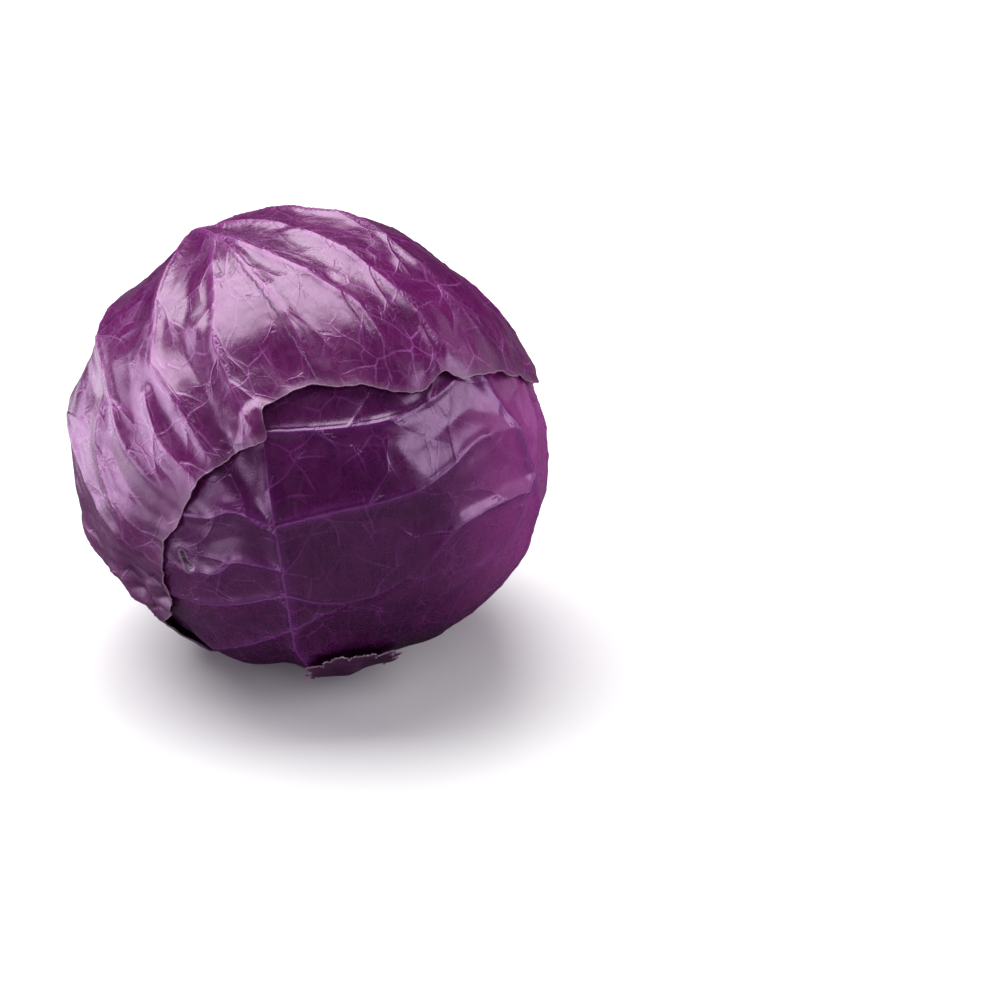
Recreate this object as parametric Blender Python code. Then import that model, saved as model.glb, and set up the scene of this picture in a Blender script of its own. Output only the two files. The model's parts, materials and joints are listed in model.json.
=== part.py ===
"""A whole red cabbage head, standing on its cut stem.

The head is a ball of tightly wrapped leaves round a hard pale core. From the
inside out it is the stem with its core, the heart of packed leaves, and the
wrapper leaves: left, back, right, front and cap, with a snapped-off leaf base
low at the front. Metres, +Z up, -Y towards the front. The origin is the
centre of the stem's cut face, which the head stands on.

A direction from the head's centre is an azimuth, 0 at the front and 90 at +X,
and an elevation. A leaf is a cap of the ball: a place on it is its reach in
degrees from the leaf's own centre and its bearing, 0 towards the crown.
"""

from dataclasses import dataclass
from math import cos, pi, radians, sin

import bmesh
import bpy
import numpy as np
from mathutils import Vector
from mathutils.geometry import delaunay_2d_cdt

# The head
HEAD_RADIUS = 0.0802
CENTRE_HEIGHT = 0.0775
BASE_CLEARANCE = 0.0048
BASE_SOFTNESS = 0.0036
HEAD_CENTRE = np.array((0.0, 0.0, CENTRE_HEIGHT))

# Broad dents and swellings of the ball: azimuth, elevation, width in degrees, height
HEAD_SWELLS = (
    (115.0, 42.0, 17.0, -0.0052),
    (-90.0, 8.0, 34.0, 0.0018),
    (72.0, -16.0, 20.0, 0.0022),
    (-22.0, 52.0, 15.0, 0.0012),
    (14.0, 14.0, 16.0, 0.0010),
    (170.0, 10.0, 24.0, -0.0014),
    (-130.0, -20.0, 20.0, 0.0012),
    (30.0, -45.0, 14.0, 0.0010),
)

# The leaves
LEAF_THICKNESS = 0.0011
LEAF_GAP = 0.0009
COVER_FROM = 3.0
COVER_TO = 17.0
PRESSED_FROM = -2.0
PRESSED_TO = 6.0
PRESSED_RELIEF = 0.25
TENT_WIDTH = 0.011
BUMP_WIDTH = 0.010
RELIEF_FADE_LOW = -0.002
RELIEF_FADE_HIGH = 0.014
REACH_STEP = 15.0
RIB_NARROWING = 0.55
RIB_TAPER = 0.8
RIB_END = 0.12
LIFT_FADE = 5.0
CURL_FADE = 2.5
CURL_FADE_GROWTH = 0.3
LEAST_DOWN = 0.05

# The waves of a leaf's margin: how many round the leaf, size, start; calmer by the stem
EDGE_WAVES = ((11, 0.60, 0.7), (19, 0.42, 2.1), (31, 0.30, 4.0))
CALM_FROM = 130.0
CALM_TO = 160.0
CALM_SHARE = 0.7
JOG_REACH = 12.0

# The net of points that a leaf's two faces share; the shares are of the leaf's spacing
MARGIN_STEPS = 1441
MARGIN_SHARE = 0.50
RIB_SHARE = 0.75
RIB_CLEARANCE = 0.34
RIB_BREAK = 1.2
FILL_CLEARANCE = 0.62
LEAST_RISE = 1e-12
MERGE_WITHIN = 1e-7
SHARP_ANGLE = 50.0

# The stem, slightly out of round: how many waves round it, size, start
STEM_SIDES = 36
STEM_WAVES = ((2, 0.025, 0.6), (5, 0.015, 0.0))
STEM_PROFILE = (
    (0.0146, 0.0), (0.0155, 0.0008), (0.0152, 0.0035), (0.0158, 0.0085),
    (0.0142, 0.0170), (0.0112, 0.0340), (0.0082, 0.0520), (0.0050, 0.0660), (0.0022, 0.0720),
)

# The heart that sits on the stem's core
CORE_GAP = 0.0004
BORE_SHARE = 1.045
BORE_RINGS = 9
BORE_LEAD = 0.004
HEART_GAP = 0.0003
HEART_TOP = 178.0
HEART_MOUTH = 15.5
HEART_SIDES = 45
HEART_RINGS = 22
HEART_COVER_FROM = 7.0
HEART_COVER_TO = 34.0
HEART_EDGES = ((-35.0, 58.0, 62.0), (85.0, 50.0, 58.0), (-155.0, 47.0, 66.0))
HEART_STEP = 0.0007
HEART_STEP_SOFTNESS = 3.0


@dataclass(frozen=True)
class Rib:
    """A rib's path in degrees from the leaf's centre, towards the crown and sideways."""

    path: tuple
    height: float = 0.0008
    width: float = 0.0020
    main: bool = False


@dataclass(frozen=True)
class Leaf:
    """A wrapper leaf: its centre, its reach every 15 degrees of bearing, and its ribs."""

    name: str
    azimuth: float
    elevation: float
    reaches: tuple
    ribs: tuple
    spacing: float
    ragged: float
    fold: float
    lift: float
    curls: tuple
    colour: tuple
    jogs: tuple = ()


def midrib(*path, height=0.0022, width=0.0042):
    """A leaf's thick middle rib."""
    return Rib(path, height, width, main=True)


def fan_of_ribs(start, stop, pairs, spread):
    """Pairs of laterals that leave a straight midrib and bend outwards round the head."""
    ribs = []
    for index in range(pairs):
        root = start + (stop - start) * index / (pairs - 1)
        for side in (-1.0, 1.0):
            path = ((root, 0.0), (root + 13.0, 14.0 * side), (root + 24.0, 33.0 * side),
                    (root + 31.0, spread * side))
            ribs.append(Rib(path))
    return tuple(ribs)


LEFT_LEAF = Leaf(
    name="leaf_left", azimuth=-82.0, elevation=0.0,
    reaches=(70, 71, 73, 72, 70, 69, 68, 69, 71, 73, 77, 77,
             75, 76, 78, 75, 72, 70, 68, 68, 70, 72, 73, 71),
    ribs=(midrib((-76, 0), (-40, 2), (0, 0), (34, -2), (58, 0)),) + fan_of_ribs(-50.0, 10.0, 3, 56.0),
    spacing=0.0120, ragged=0.8, fold=0.0003, lift=0.0, curls=(), colour=(0.20, 0.05, 0.16),
)

BACK_LEAF = Leaf(
    name="leaf_back", azimuth=176.0, elevation=0.0,
    reaches=(71, 72, 71, 70, 72, 73, 71, 70, 72, 74, 77, 77,
             75, 77, 78, 74, 71, 70, 72, 71, 69, 70, 72, 72),
    ribs=(midrib((-76, 0), (-42, -2), (-4, 1), (30, 2), (58, 0)),) + fan_of_ribs(-52.0, 8.0, 3, 56.0),
    spacing=0.0120, ragged=0.8, fold=0.0003, lift=0.0, curls=(), colour=(0.20, 0.05, 0.16),
)

RIGHT_LEAF = Leaf(
    name="leaf_right", azimuth=118.0, elevation=4.0,
    reaches=(72, 74, 75, 74, 73, 72, 73, 74, 75, 78, 79, 79,
             78, 79, 78, 76, 73, 72, 73, 74, 74, 73, 72, 71),
    ribs=(midrib((-82, 0), (-50, 3), (-10, 2), (25, -2), (56, -3)),) + fan_of_ribs(-62.0, 16.0, 5, 58.0),
    spacing=0.0105, ragged=0.9, fold=0.0004, lift=0.0004, curls=(), colour=(0.17, 0.035, 0.14),
)

FRONT_LEAF = Leaf(
    name="leaf_front", azimuth=12.0, elevation=2.0,
    reaches=(62, 64, 68, 74, 80, 87, 92, 93, 93, 92, 88, 83,
             78, 83, 86, 88, 85, 84, 84, 80, 74, 68, 65, 63),
    ribs=(
        midrib((-78, 0), (-60, -8), (-39, -16), (-26, -18), (-6, -20), (14, -22), (44, -24)),
        Rib(((33, 36), (24, 41), (15, 46), (0, 52), (-20, 55), (-44, 48), (-66, 28)),
            0.0015, 0.0027, main=True),
        Rib(((40, 62), (24, 63), (13, 60), (0, 53))),
        Rib(((36, 74), (20, 74), (4, 68), (-16, 66), (-40, 62))),
        Rib(((0, 52), (-6, 46), (-14, 40), (-18, 30), (-22, 19)), 0.0012, 0.0024),
        Rib(((-3, 48), (-1, 40), (-2, 24), (-9, 15), (-19, 8)), 0.0018, 0.0026),
        Rib(((4, -21), (7, -8), (9, 10), (12, 20), (17, 32), (16, 44)), 0.0010, 0.0022),
        Rib(((26, -23), (26, 5), (29, 20), (34, 32))),
        Rib(((-14, -19), (-17, -10), (-15, 4), (-8, 15))),
        Rib(((-26, -18), (-22, -12), (-17, -4))),
        Rib(((4, -21), (7, -31), (4, -40), (6, -60))),
        Rib(((-7, -20), (-6, -31), (-11, -37), (-14, -56))),
        Rib(((-14, -19), (-19, -32), (-24, -46), (-26, -62))),
        Rib(((-26, -18), (-38, -32), (-50, -42), (-60, -50))),
    ),
    spacing=0.0088, ragged=0.8, fold=0.0011, lift=0.0004,
    curls=((100.0, 12.0, 0.0012), (70.0, 8.0, 0.0008)), colour=(0.12, 0.022, 0.10),
)

CAP_LEAF = Leaf(
    name="leaf_cap", azimuth=-151.0, elevation=24.0,
    reaches=(123, 117, 113, 114, 113, 113, 114, 115, 112, 112, 111, 107,
             100, 104, 98, 92, 86, 81, 80, 92, 111, 117, 119, 121),
    ribs=(
        midrib((-99, 0), (-70, -2), (-30, 1), (0, 6), (28, 13), (52, 21), (70, 27), (88, 33), (101, 39),
               height=0.0030, width=0.0052),
        Rib(((52, 21), (69, 20), (83, 16), (92, 12), (99, 7), (116, 5)), 0.0012, 0.0023),
        Rib(((40, 17), (58, 9), (75, 1), (94, -10), (106, -20), (112, -26)), 0.0012, 0.0023),
        Rib(((24, 12), (47, 1), (60, -8), (68, -18), (84, -26), (93, -38), (98, -52)), 0.0012, 0.0023),
        Rib(((54, 22), (60, 30), (68, 41), (73, 56), (82, 71), (86, 84))),
        Rib(((34, 15), (44, 29), (50, 51), (51, 66), (59, 77), (64, 90)), 0.0013, 0.0024),
        Rib(((4, 7), (14, 28), (25, 54), (32, 71), (31, 86), (35, 99)), 0.0012, 0.0023),
        Rib(((32, 72), (15, 84), (6, 100)), 0.0007, 0.0018),
        Rib(((47, 74), (47, 87), (54, 98)), 0.0007, 0.0018),
        Rib(((-28, 1), (-12, 22), (-2, 46), (2, 72), (-4, 98)), 0.0013, 0.0024),
        Rib(((-58, -1), (-42, 20), (-32, 45), (-34, 74), (-44, 96)), 0.0015, 0.0028),
        Rib(((-80, -1), (-68, 18), (-66, 42), (-72, 66)), 0.0015, 0.0028),
        Rib(((2, 6), (20, -10), (36, -28), (48, -50), (50, -74), (40, -92)), 0.0013, 0.0024),
        Rib(((-30, 1), (-10, -18), (4, -40), (10, -62))),
        Rib(((-58, -1), (-42, -20), (-30, -42), (-26, -60)), 0.0015, 0.0028),
        Rib(((-80, -1), (-68, -16), (-60, -36), (-58, -54)), 0.0015, 0.0028),
    ),
    spacing=0.0092, ragged=0.9, fold=0.0014, lift=0.0010,
    curls=((130.0, 13.0, 0.0050), (114.0, 5.0, 0.0018), (43.0, 4.0, 0.0024), (86.0, 12.0, 0.0014),
           (62.0, 9.0, 0.0012), (-27.0, 10.0, 0.0008), (-62.0, 8.0, 0.0010)),
    colour=(0.23, 0.06, 0.19), jogs=((39.0, 1.6, 3.1), (-13.0, 1.5, -1.0), (101.0, 2.0, 1.4)),
)

SNAPPED_LEAF = Leaf(
    name="leaf_stub", azimuth=11.0, elevation=-50.0,
    reaches=(12, 13, 12, 13, 13, 12, 12, 11, 12, 12, 13, 13,
             13, 13, 12, 12, 11, 10, 10, 11, 12, 12, 12, 13),
    ribs=(midrib((-10, 0), (0, 1), (9, 0), height=0.0010, width=0.0036),),
    spacing=0.0048, ragged=1.2, fold=0.0003, lift=0.0006, curls=((0.0, 50.0, 0.0010),),
    colour=(0.13, 0.025, 0.11),
)

# From the inside out
LEAVES = (LEFT_LEAF, BACK_LEAF, RIGHT_LEAF, FRONT_LEAF, CAP_LEAF, SNAPPED_LEAF)


def clear_scene():
    """Leaves nothing in the scene."""
    for scene_object in list(bpy.data.objects):
        bpy.data.objects.remove(scene_object, do_unlink=True)


def make_material(name, colour, roughness, coat=0.0):
    """A plain finish in the piece's own colour."""
    material = bpy.data.materials.new(name)
    material.use_nodes = True
    shader = material.node_tree.nodes["Principled BSDF"]
    shader.inputs["Base Color"].default_value = (*colour, 1.0)
    shader.inputs["Roughness"].default_value = roughness
    shader.inputs["Coat Weight"].default_value = coat
    return material


def smoothstep(low, high, value):
    """A smooth ramp from 0 at low to 1 at high."""
    share = np.clip((value - low) / (high - low), 0.0, 1.0)
    return share * share * (3.0 - 2.0 * share)


def direction(azimuth, elevation):
    """The unit ray at an azimuth and an elevation in degrees."""
    turn, rise = radians(azimuth), radians(elevation)
    return np.array((sin(turn) * cos(rise), -cos(turn) * cos(rise), sin(rise)))


def leaf_axes(leaf):
    """The leaf's centre, the way to the crown from there, and the way to its right."""
    centre = direction(leaf.azimuth, leaf.elevation)
    crown = np.array((0.0, 0.0, 1.0)) - centre * centre[2]
    crown /= np.linalg.norm(crown)
    return centre, crown, np.cross(crown, centre)


def leaf_polar(leaf, rays):
    """Reach and bearing in degrees of each ray from the leaf's centre."""
    centre, crown, side = leaf_axes(leaf)
    reach = np.degrees(np.arccos(np.clip(rays @ centre, -1.0, 1.0)))
    bearing = np.degrees(np.arctan2(rays @ side, rays @ crown))
    return reach, bearing


def leaf_rays(leaf, reach, bearing):
    """Unit rays at a reach and a bearing, both in degrees, from the leaf's centre."""
    centre, crown, side = leaf_axes(leaf)
    out, turn = np.radians(reach)[:, None], np.radians(bearing)[:, None]
    return np.cos(out) * centre + np.sin(out) * (np.cos(turn) * crown + np.sin(turn) * side)


def smooth_reach(leaf, bearing):
    """The margin's reach at a bearing, on a smooth closed curve through the leaf's reaches."""
    reaches = np.array(leaf.reaches, dtype=float)
    place = np.mod(bearing, 360.0) / REACH_STEP
    knot = np.floor(place).astype(int)
    share = place - knot
    before, here, after, last = (reaches[(knot + shift) % len(reaches)] for shift in (-1, 0, 1, 2))
    bend = 2.0 * before - 5.0 * here + 4.0 * after - last
    turn = 3.0 * (here - after) + last - before
    return here + 0.5 * share * (after - before + share * (bend + share * turn))


def ragged_reach(leaf, bearing):
    """The waved margin of the leaf, with its jogs."""
    turn = np.radians(bearing)
    waves = sum(size * np.sin(count * turn + start) for count, size, start in EDGE_WAVES)
    stem_side = smoothstep(CALM_FROM, CALM_TO, np.abs(np.mod(bearing + 180.0, 360.0) - 180.0))
    reach = smooth_reach(leaf, bearing) + leaf.ragged * waves * (1.0 - CALM_SHARE * stem_side)
    for at, width, depth in leaf.jogs:
        offset = np.mod(bearing - at + 180.0, 360.0) - 180.0
        reach = reach + depth * np.tanh(offset / width) * np.exp(-(offset / JOG_REACH) ** 2)
    return reach


def cover(leaf, rays, start=COVER_FROM, stop=COVER_TO):
    """1 where the leaf lies, fading to 0 past its margin."""
    reach, bearing = leaf_polar(leaf, rays)
    return 1.0 - smoothstep(start, stop, reach - smooth_reach(leaf, bearing))


def smooth_path(points, steps=6):
    """Points on a smooth curve through a rib's own points."""
    knots = np.array(points, dtype=float)
    knots = np.vstack((2 * knots[0] - knots[1], knots, 2 * knots[-1] - knots[-2]))
    curve = []
    for index in range(1, len(knots) - 2):
        before, here, after, last = knots[index - 1:index + 3]
        for share in np.arange(steps) / steps:
            bend = 2 * before - 5 * here + 4 * after - last
            turn = 3 * (here - after) + last - before
            curve.append(here + 0.5 * share * (after - before + share * (bend + share * turn)))
    curve.append(knots[-2])
    return np.array(curve)


def rib_rays(leaf, rib):
    """Unit rays along a rib."""
    path = smooth_path(rib.path)
    reach = np.hypot(path[:, 0], path[:, 1])
    bearing = np.degrees(np.arctan2(path[:, 1], path[:, 0]))
    return leaf_rays(leaf, reach, bearing)


def rib_distance(leaf, rib, rays):
    """How far each ray is from the rib on the ball, and how far along the rib, 0 to 1."""
    line = rib_rays(leaf, rib)
    nearest = np.full(len(rays), 9.0)
    along = np.zeros(len(rays))
    for index in range(len(line) - 1):
        start, run = line[index], line[index + 1] - line[index]
        share = np.clip((rays - start) @ run / (run @ run), 0.0, 1.0)
        distance = np.linalg.norm(rays - start - share[:, None] * run, axis=1)
        closer = distance < nearest
        nearest = np.where(closer, distance, nearest)
        along = np.where(closer, (index + share) / (len(line) - 1), along)
    return nearest * HEAD_RADIUS, along


def rib_taper(along):
    """How much of a rib's size is left along it."""
    return (1.0 - along) ** RIB_TAPER + RIB_END


def leaf_relief(leaf, rays):
    """How far the ribs, and the folds that they carry, stand out of the leaf."""
    ridge = np.zeros(len(rays))
    tent = np.zeros(len(rays))
    for rib in leaf.ribs:
        distance, along = rib_distance(leaf, rib, rays)
        taper = rib_taper(along)
        width = rib.width * (1.0 - RIB_NARROWING + RIB_NARROWING * taper)
        ridge = np.maximum(ridge, rib.height * taper * np.exp(-(distance / width) ** 2))
        tent = np.maximum(tent, leaf.fold * np.clip(1.0 - distance / TENT_WIDTH, 0.0, 1.0))
    return ridge + tent


def main_rib_bump(leaf, rays):
    """The broad swelling that a leaf's thick ribs raise in the leaves over it."""
    bump = np.zeros(len(rays))
    for rib in leaf.ribs:
        if rib.main:
            distance, along = rib_distance(leaf, rib, rays)
            bump = np.maximum(bump, rib.height * rib_taper(along) * np.exp(-(distance / BUMP_WIDTH) ** 2))
    return bump


def margin_lift(leaf, rays):
    """How far the leaf's edge stands off the head, with its curls and its loose flap."""
    reach, bearing = leaf_polar(leaf, rays)
    inside = np.clip(smooth_reach(leaf, bearing) - reach, 0.0, None)
    lift = leaf.lift * np.exp(-inside / LIFT_FADE)
    for at, width, height in leaf.curls:
        offset = np.mod(bearing - at + 180.0, 360.0) - 180.0
        fade = CURL_FADE + CURL_FADE_GROWTH * width
        lift = lift + height * np.exp(-(offset / width) ** 2) * np.exp(-inside / fade)
    return lift


def head_surface(rays):
    """The outermost surface of the head: the ball, its swells and its flattened base."""
    radius = np.full(len(rays), HEAD_RADIUS)
    for azimuth, elevation, width, height in HEAD_SWELLS:
        off = np.degrees(np.arccos(np.clip(rays @ direction(azimuth, elevation), -1.0, 1.0)))
        radius = radius + height * np.exp(-(off / width) ** 2)
    down = np.clip(-rays[:, 2], LEAST_DOWN, None)
    base = (CENTRE_HEIGHT - BASE_CLEARANCE) / down
    return -BASE_SOFTNESS * np.logaddexp(-radius / BASE_SOFTNESS, -base / BASE_SOFTNESS)


def leaf_surfaces(leaf, rays):
    """Inner and outer distance of the leaf from the head's centre along each ray."""
    order = LEAVES.index(leaf)
    outer = head_surface(rays)
    relief = leaf_relief(leaf, rays)
    lift = margin_lift(leaf, rays)
    for over in LEAVES[order + 1:]:
        covered = cover(over, rays)
        outer = outer - covered * (LEAF_THICKNESS + LEAF_GAP)
        lift = lift * (1.0 - covered)
        reach, bearing = leaf_polar(over, rays)
        under = smoothstep(PRESSED_FROM, PRESSED_TO, smooth_reach(over, bearing) - reach)
        relief = relief * (1.0 - (1.0 - PRESSED_RELIEF) * under)
    for below in LEAVES[:order]:
        outer = outer + main_rib_bump(below, rays) * cover(below, rays)
    height = CENTRE_HEIGHT + outer * rays[:, 2]
    clear = smoothstep(RELIEF_FADE_LOW, RELIEF_FADE_HIGH, height)
    outer = outer + lift * clear
    return outer - LEAF_THICKNESS, outer + relief * clear


def flatten(leaf, rays):
    """Equal-area flat coordinates of rays on the leaf."""
    reach, bearing = leaf_polar(leaf, rays)
    spread = 2.0 * np.sin(np.radians(reach) / 2.0)
    turn = np.radians(bearing)
    return np.column_stack((spread * np.cos(turn), spread * np.sin(turn)))


def unflatten(leaf, flat):
    """Rays on the leaf from its equal-area flat coordinates."""
    spread = np.clip(np.hypot(flat[:, 0], flat[:, 1]) / 2.0, 0.0, 1.0)
    bearing = np.degrees(np.arctan2(flat[:, 1], flat[:, 0]))
    return leaf_rays(leaf, 2.0 * np.degrees(np.arcsin(spread)), bearing)


def even_points(rays, spacing):
    """Points at an even spacing along a line of rays, both ends included."""
    steps = np.linalg.norm(np.diff(rays, axis=0), axis=1) * HEAD_RADIUS
    run = np.concatenate(([0.0], np.cumsum(steps)))
    count = max(2, int(round(run[-1] / spacing)) + 1)
    even = np.linspace(0.0, run[-1], count)
    points = np.column_stack([np.interp(even, run, rays[:, axis]) for axis in range(3)])
    return points / np.linalg.norm(points, axis=1)[:, None]


def keep_apart(points, taken, distance):
    """The points that are further than distance from every taken one, on the ball."""
    if len(points) == 0 or len(taken) == 0:
        return points
    gaps = np.linalg.norm(points[:, None, :] - taken[None, :, :], axis=2).min(axis=1)
    return points[gaps * HEAD_RADIUS > distance]


def inside_outline(points, outline):
    """True for each flat point that lies inside the closed outline."""
    inside = np.zeros(len(points), dtype=bool)
    for start, end in zip(outline, np.roll(outline, -1, axis=0)):
        rises = (start[1] > points[:, 1]) != (end[1] > points[:, 1])
        height = end[1] - start[1] if end[1] != start[1] else LEAST_RISE
        crossing = start[0] + (points[:, 1] - start[1]) * (end[0] - start[0]) / height
        inside ^= rises & (points[:, 0] < crossing)
    return inside


def margin_rays(leaf):
    """Rays at an even spacing round the leaf's margin."""
    bearing = np.linspace(-180.0, 180.0, MARGIN_STEPS)
    fine = leaf_rays(leaf, ragged_reach(leaf, bearing), bearing)
    return even_points(fine, MARGIN_SHARE * leaf.spacing)[:-1]


def hexagonal_fill(leaf, outline):
    """Rays on a hexagonal grid over the leaf, inside its outline."""
    step = leaf.spacing / HEAD_RADIUS
    row_height = step * cos(pi / 6.0)
    low, high = outline.min(axis=0), outline.max(axis=0)
    grid = []
    for row, across in enumerate(np.arange(low[1], high[1], row_height)):
        for along in np.arange(low[0] + 0.5 * step * (row % 2), high[0], step):
            grid.append((along, across))
    grid = np.array(grid)
    return unflatten(leaf, grid[inside_outline(grid, outline)])


def leaf_net(leaf):
    """The leaf's points as rays, and its triangles, with an edge along every rib."""
    margin = margin_rays(leaf)
    outline = flatten(leaf, margin)
    points = margin
    count = len(margin)
    edges = [(index, (index + 1) % count) for index in range(count)]
    spacing = RIB_SHARE * leaf.spacing
    for rib in leaf.ribs:
        line = even_points(rib_rays(leaf, rib), spacing)
        line = line[inside_outline(flatten(leaf, line), outline)]
        line = keep_apart(line, points, RIB_CLEARANCE * leaf.spacing)
        first = len(points)
        for index in range(len(line) - 1):
            if np.linalg.norm(line[index + 1] - line[index]) * HEAD_RADIUS < RIB_BREAK * leaf.spacing:
                edges.append((first + index, first + index + 1))
        points = np.vstack((points, line))
    fill = keep_apart(hexagonal_fill(leaf, outline), points, FILL_CLEARANCE * leaf.spacing)
    points = np.vstack((points, fill))
    flat = [Vector(pair) for pair in flatten(leaf, points)]
    corners, _, faces, _, _, _ = delaunay_2d_cdt(flat, edges, [], 0, MERGE_WITHIN)
    corners = np.array([tuple(corner) for corner in corners])
    triangles = np.array([tuple(face) for face in faces])
    middles = corners[triangles].mean(axis=1)
    triangles = triangles[inside_outline(middles, outline)]
    used, compact = np.unique(triangles, return_inverse=True)
    return unflatten(leaf, corners[used]), compact.reshape(-1, 3)


def edge_loop(triangles):
    """The edges that only one triangle uses, each in that triangle's direction."""
    seen = {}
    for triangle in triangles:
        for start, end in zip(triangle, np.roll(triangle, -1)):
            seen[(int(start), int(end))] = True
    return [edge for edge in seen if (edge[1], edge[0]) not in seen]


def mesh_object(name, points, faces, material):
    """A smooth-shaded object with its faces turned outwards."""
    mesh = bpy.data.meshes.new(name)
    mesh.from_pydata([tuple(point) for point in points], [], faces)
    shape = bmesh.new()
    shape.from_mesh(mesh)
    bmesh.ops.recalc_face_normals(shape, faces=shape.faces)
    shape.to_mesh(mesh)
    shape.free()
    mesh.shade_smooth()
    mesh.set_sharp_from_angle(angle=radians(SHARP_ANGLE))
    mesh.materials.append(material)
    piece = bpy.data.objects.new(name, mesh)
    bpy.context.scene.collection.objects.link(piece)
    return piece


def make_leaf(leaf):
    """A thin closed shell whose two faces share one net of triangles."""
    rays, triangles = leaf_net(leaf)
    inner, outer = leaf_surfaces(leaf, rays)
    points = np.vstack((HEAD_CENTRE + rays * outer[:, None], HEAD_CENTRE + rays * inner[:, None]))
    count = len(rays)
    faces = [tuple(int(corner) for corner in triangle[::-1]) for triangle in triangles]
    faces += [tuple(int(corner) + count for corner in triangle) for triangle in triangles]
    for start, end in edge_loop(triangles):
        faces.append((start, end, end + count))
        faces.append((start, end + count, start + count))
    return mesh_object(leaf.name, points, faces, make_material(leaf.name, leaf.colour, 0.32, 0.4))


def ring_faces(rings, sides):
    """Quads between rings of points, one ring after another."""
    faces = []
    for ring in range(rings - 1):
        for side in range(sides):
            after = (side + 1) % sides
            faces.append((ring * sides + side, ring * sides + after,
                          (ring + 1) * sides + after, (ring + 1) * sides + side))
    return faces


def stem_ring(radius, height):
    """A ring of the stem, slightly out of round."""
    turns = 2.0 * pi * np.arange(STEM_SIDES) / STEM_SIDES
    waves = sum(size * np.sin(count * turns + start) for count, size, start in STEM_WAVES)
    wobble = radius * (1.0 + waves)
    return np.column_stack((wobble * np.cos(turns), wobble * np.sin(turns), np.full(STEM_SIDES, height)))


def make_stem():
    """The cut stem and the core that it runs up into, as one piece."""
    rings = [stem_ring(radius, height) for radius, height in STEM_PROFILE]
    points = np.vstack(rings)
    faces = ring_faces(len(rings), STEM_SIDES)
    faces.append(tuple(range(STEM_SIDES)))
    faces.append(tuple(range(len(points) - STEM_SIDES, len(points))))
    return mesh_object("stem", points, faces, make_material("stem", (0.66, 0.60, 0.42), 0.7))


def heart_surface(rays):
    """The packed inner leaves, under every wrapper leaf, with their edges as low steps."""
    outer = head_surface(rays) - HEART_GAP
    for leaf in LEAVES:
        layer = LEAF_THICKNESS + LEAF_GAP
        outer = outer - cover(leaf, rays, HEART_COVER_FROM, HEART_COVER_TO) * layer
    for azimuth, elevation, reach in HEART_EDGES:
        off = np.degrees(np.arccos(np.clip(rays @ direction(azimuth, elevation), -1.0, 1.0)))
        step = smoothstep(reach - HEART_STEP_SOFTNESS, reach + HEART_STEP_SOFTNESS, off)
        outer = outer - HEART_STEP * step
    return outer


def core_radius_at(height):
    """The core's radius at a height."""
    profile = np.array(STEM_PROFILE)
    return np.interp(height, profile[:, 1], profile[:, 0])


def make_heart():
    """The dense heart: closed leaves round the core, open only where the stem comes in."""
    turns = 2.0 * pi * np.arange(HEART_SIDES) / HEART_SIDES
    rings = []
    for tilt in np.linspace(HEART_TOP, HEART_MOUTH, HEART_RINGS):
        polar = radians(tilt)
        rays = np.column_stack((sin(polar) * np.cos(turns), sin(polar) * np.sin(turns),
                                np.full(HEART_SIDES, -cos(polar))))
        rings.append(HEAD_CENTRE + rays * heart_surface(rays)[:, None])
    mouth_height = rings[-1][:, 2].mean()
    top = STEM_PROFILE[-1][1] + 4 * CORE_GAP
    for height in np.linspace(mouth_height + BORE_LEAD, top, BORE_RINGS):
        radius = core_radius_at(height) * BORE_SHARE + CORE_GAP
        rings.append(np.column_stack((radius * np.cos(turns), radius * np.sin(turns),
                                      np.full(HEART_SIDES, height))))
    points = np.vstack(rings)
    faces = ring_faces(len(rings), HEART_SIDES)
    faces.append(tuple(range(HEART_SIDES)))
    faces.append(tuple(range(len(points) - HEART_SIDES, len(points))))
    return mesh_object("heart", points, faces, make_material("heart", (0.36, 0.16, 0.33), 0.5))


def build():
    """The whole head, from the stem outwards."""
    clear_scene()
    make_stem()
    make_heart()
    for leaf in LEAVES:
        make_leaf(leaf)


build()
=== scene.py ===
"""Looks of a whole red cabbage head: its wrapper leaves, its cut stem and a plain studio.

The head stands on its cut stem in the frame's own place, in metres, with +Z up
and the front towards -Y. Every leaf repeats its plan in the model: a cap of the
ball, with its margin, its ribs and its place in the wrap, drawn here as a fine
sheet with veins, puckers, a thin lifted edge and a waxy skin.

A direction from the head's centre is an azimuth, 0 at the front and 90 at +X,
and an elevation. A place on a leaf is a reach in degrees from the leaf's own
centre and a bearing, 0 towards the crown.
"""

from __future__ import annotations

import json
import logging
from dataclasses import dataclass, field
from enum import Enum
from math import cos, pi, radians, sin

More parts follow.
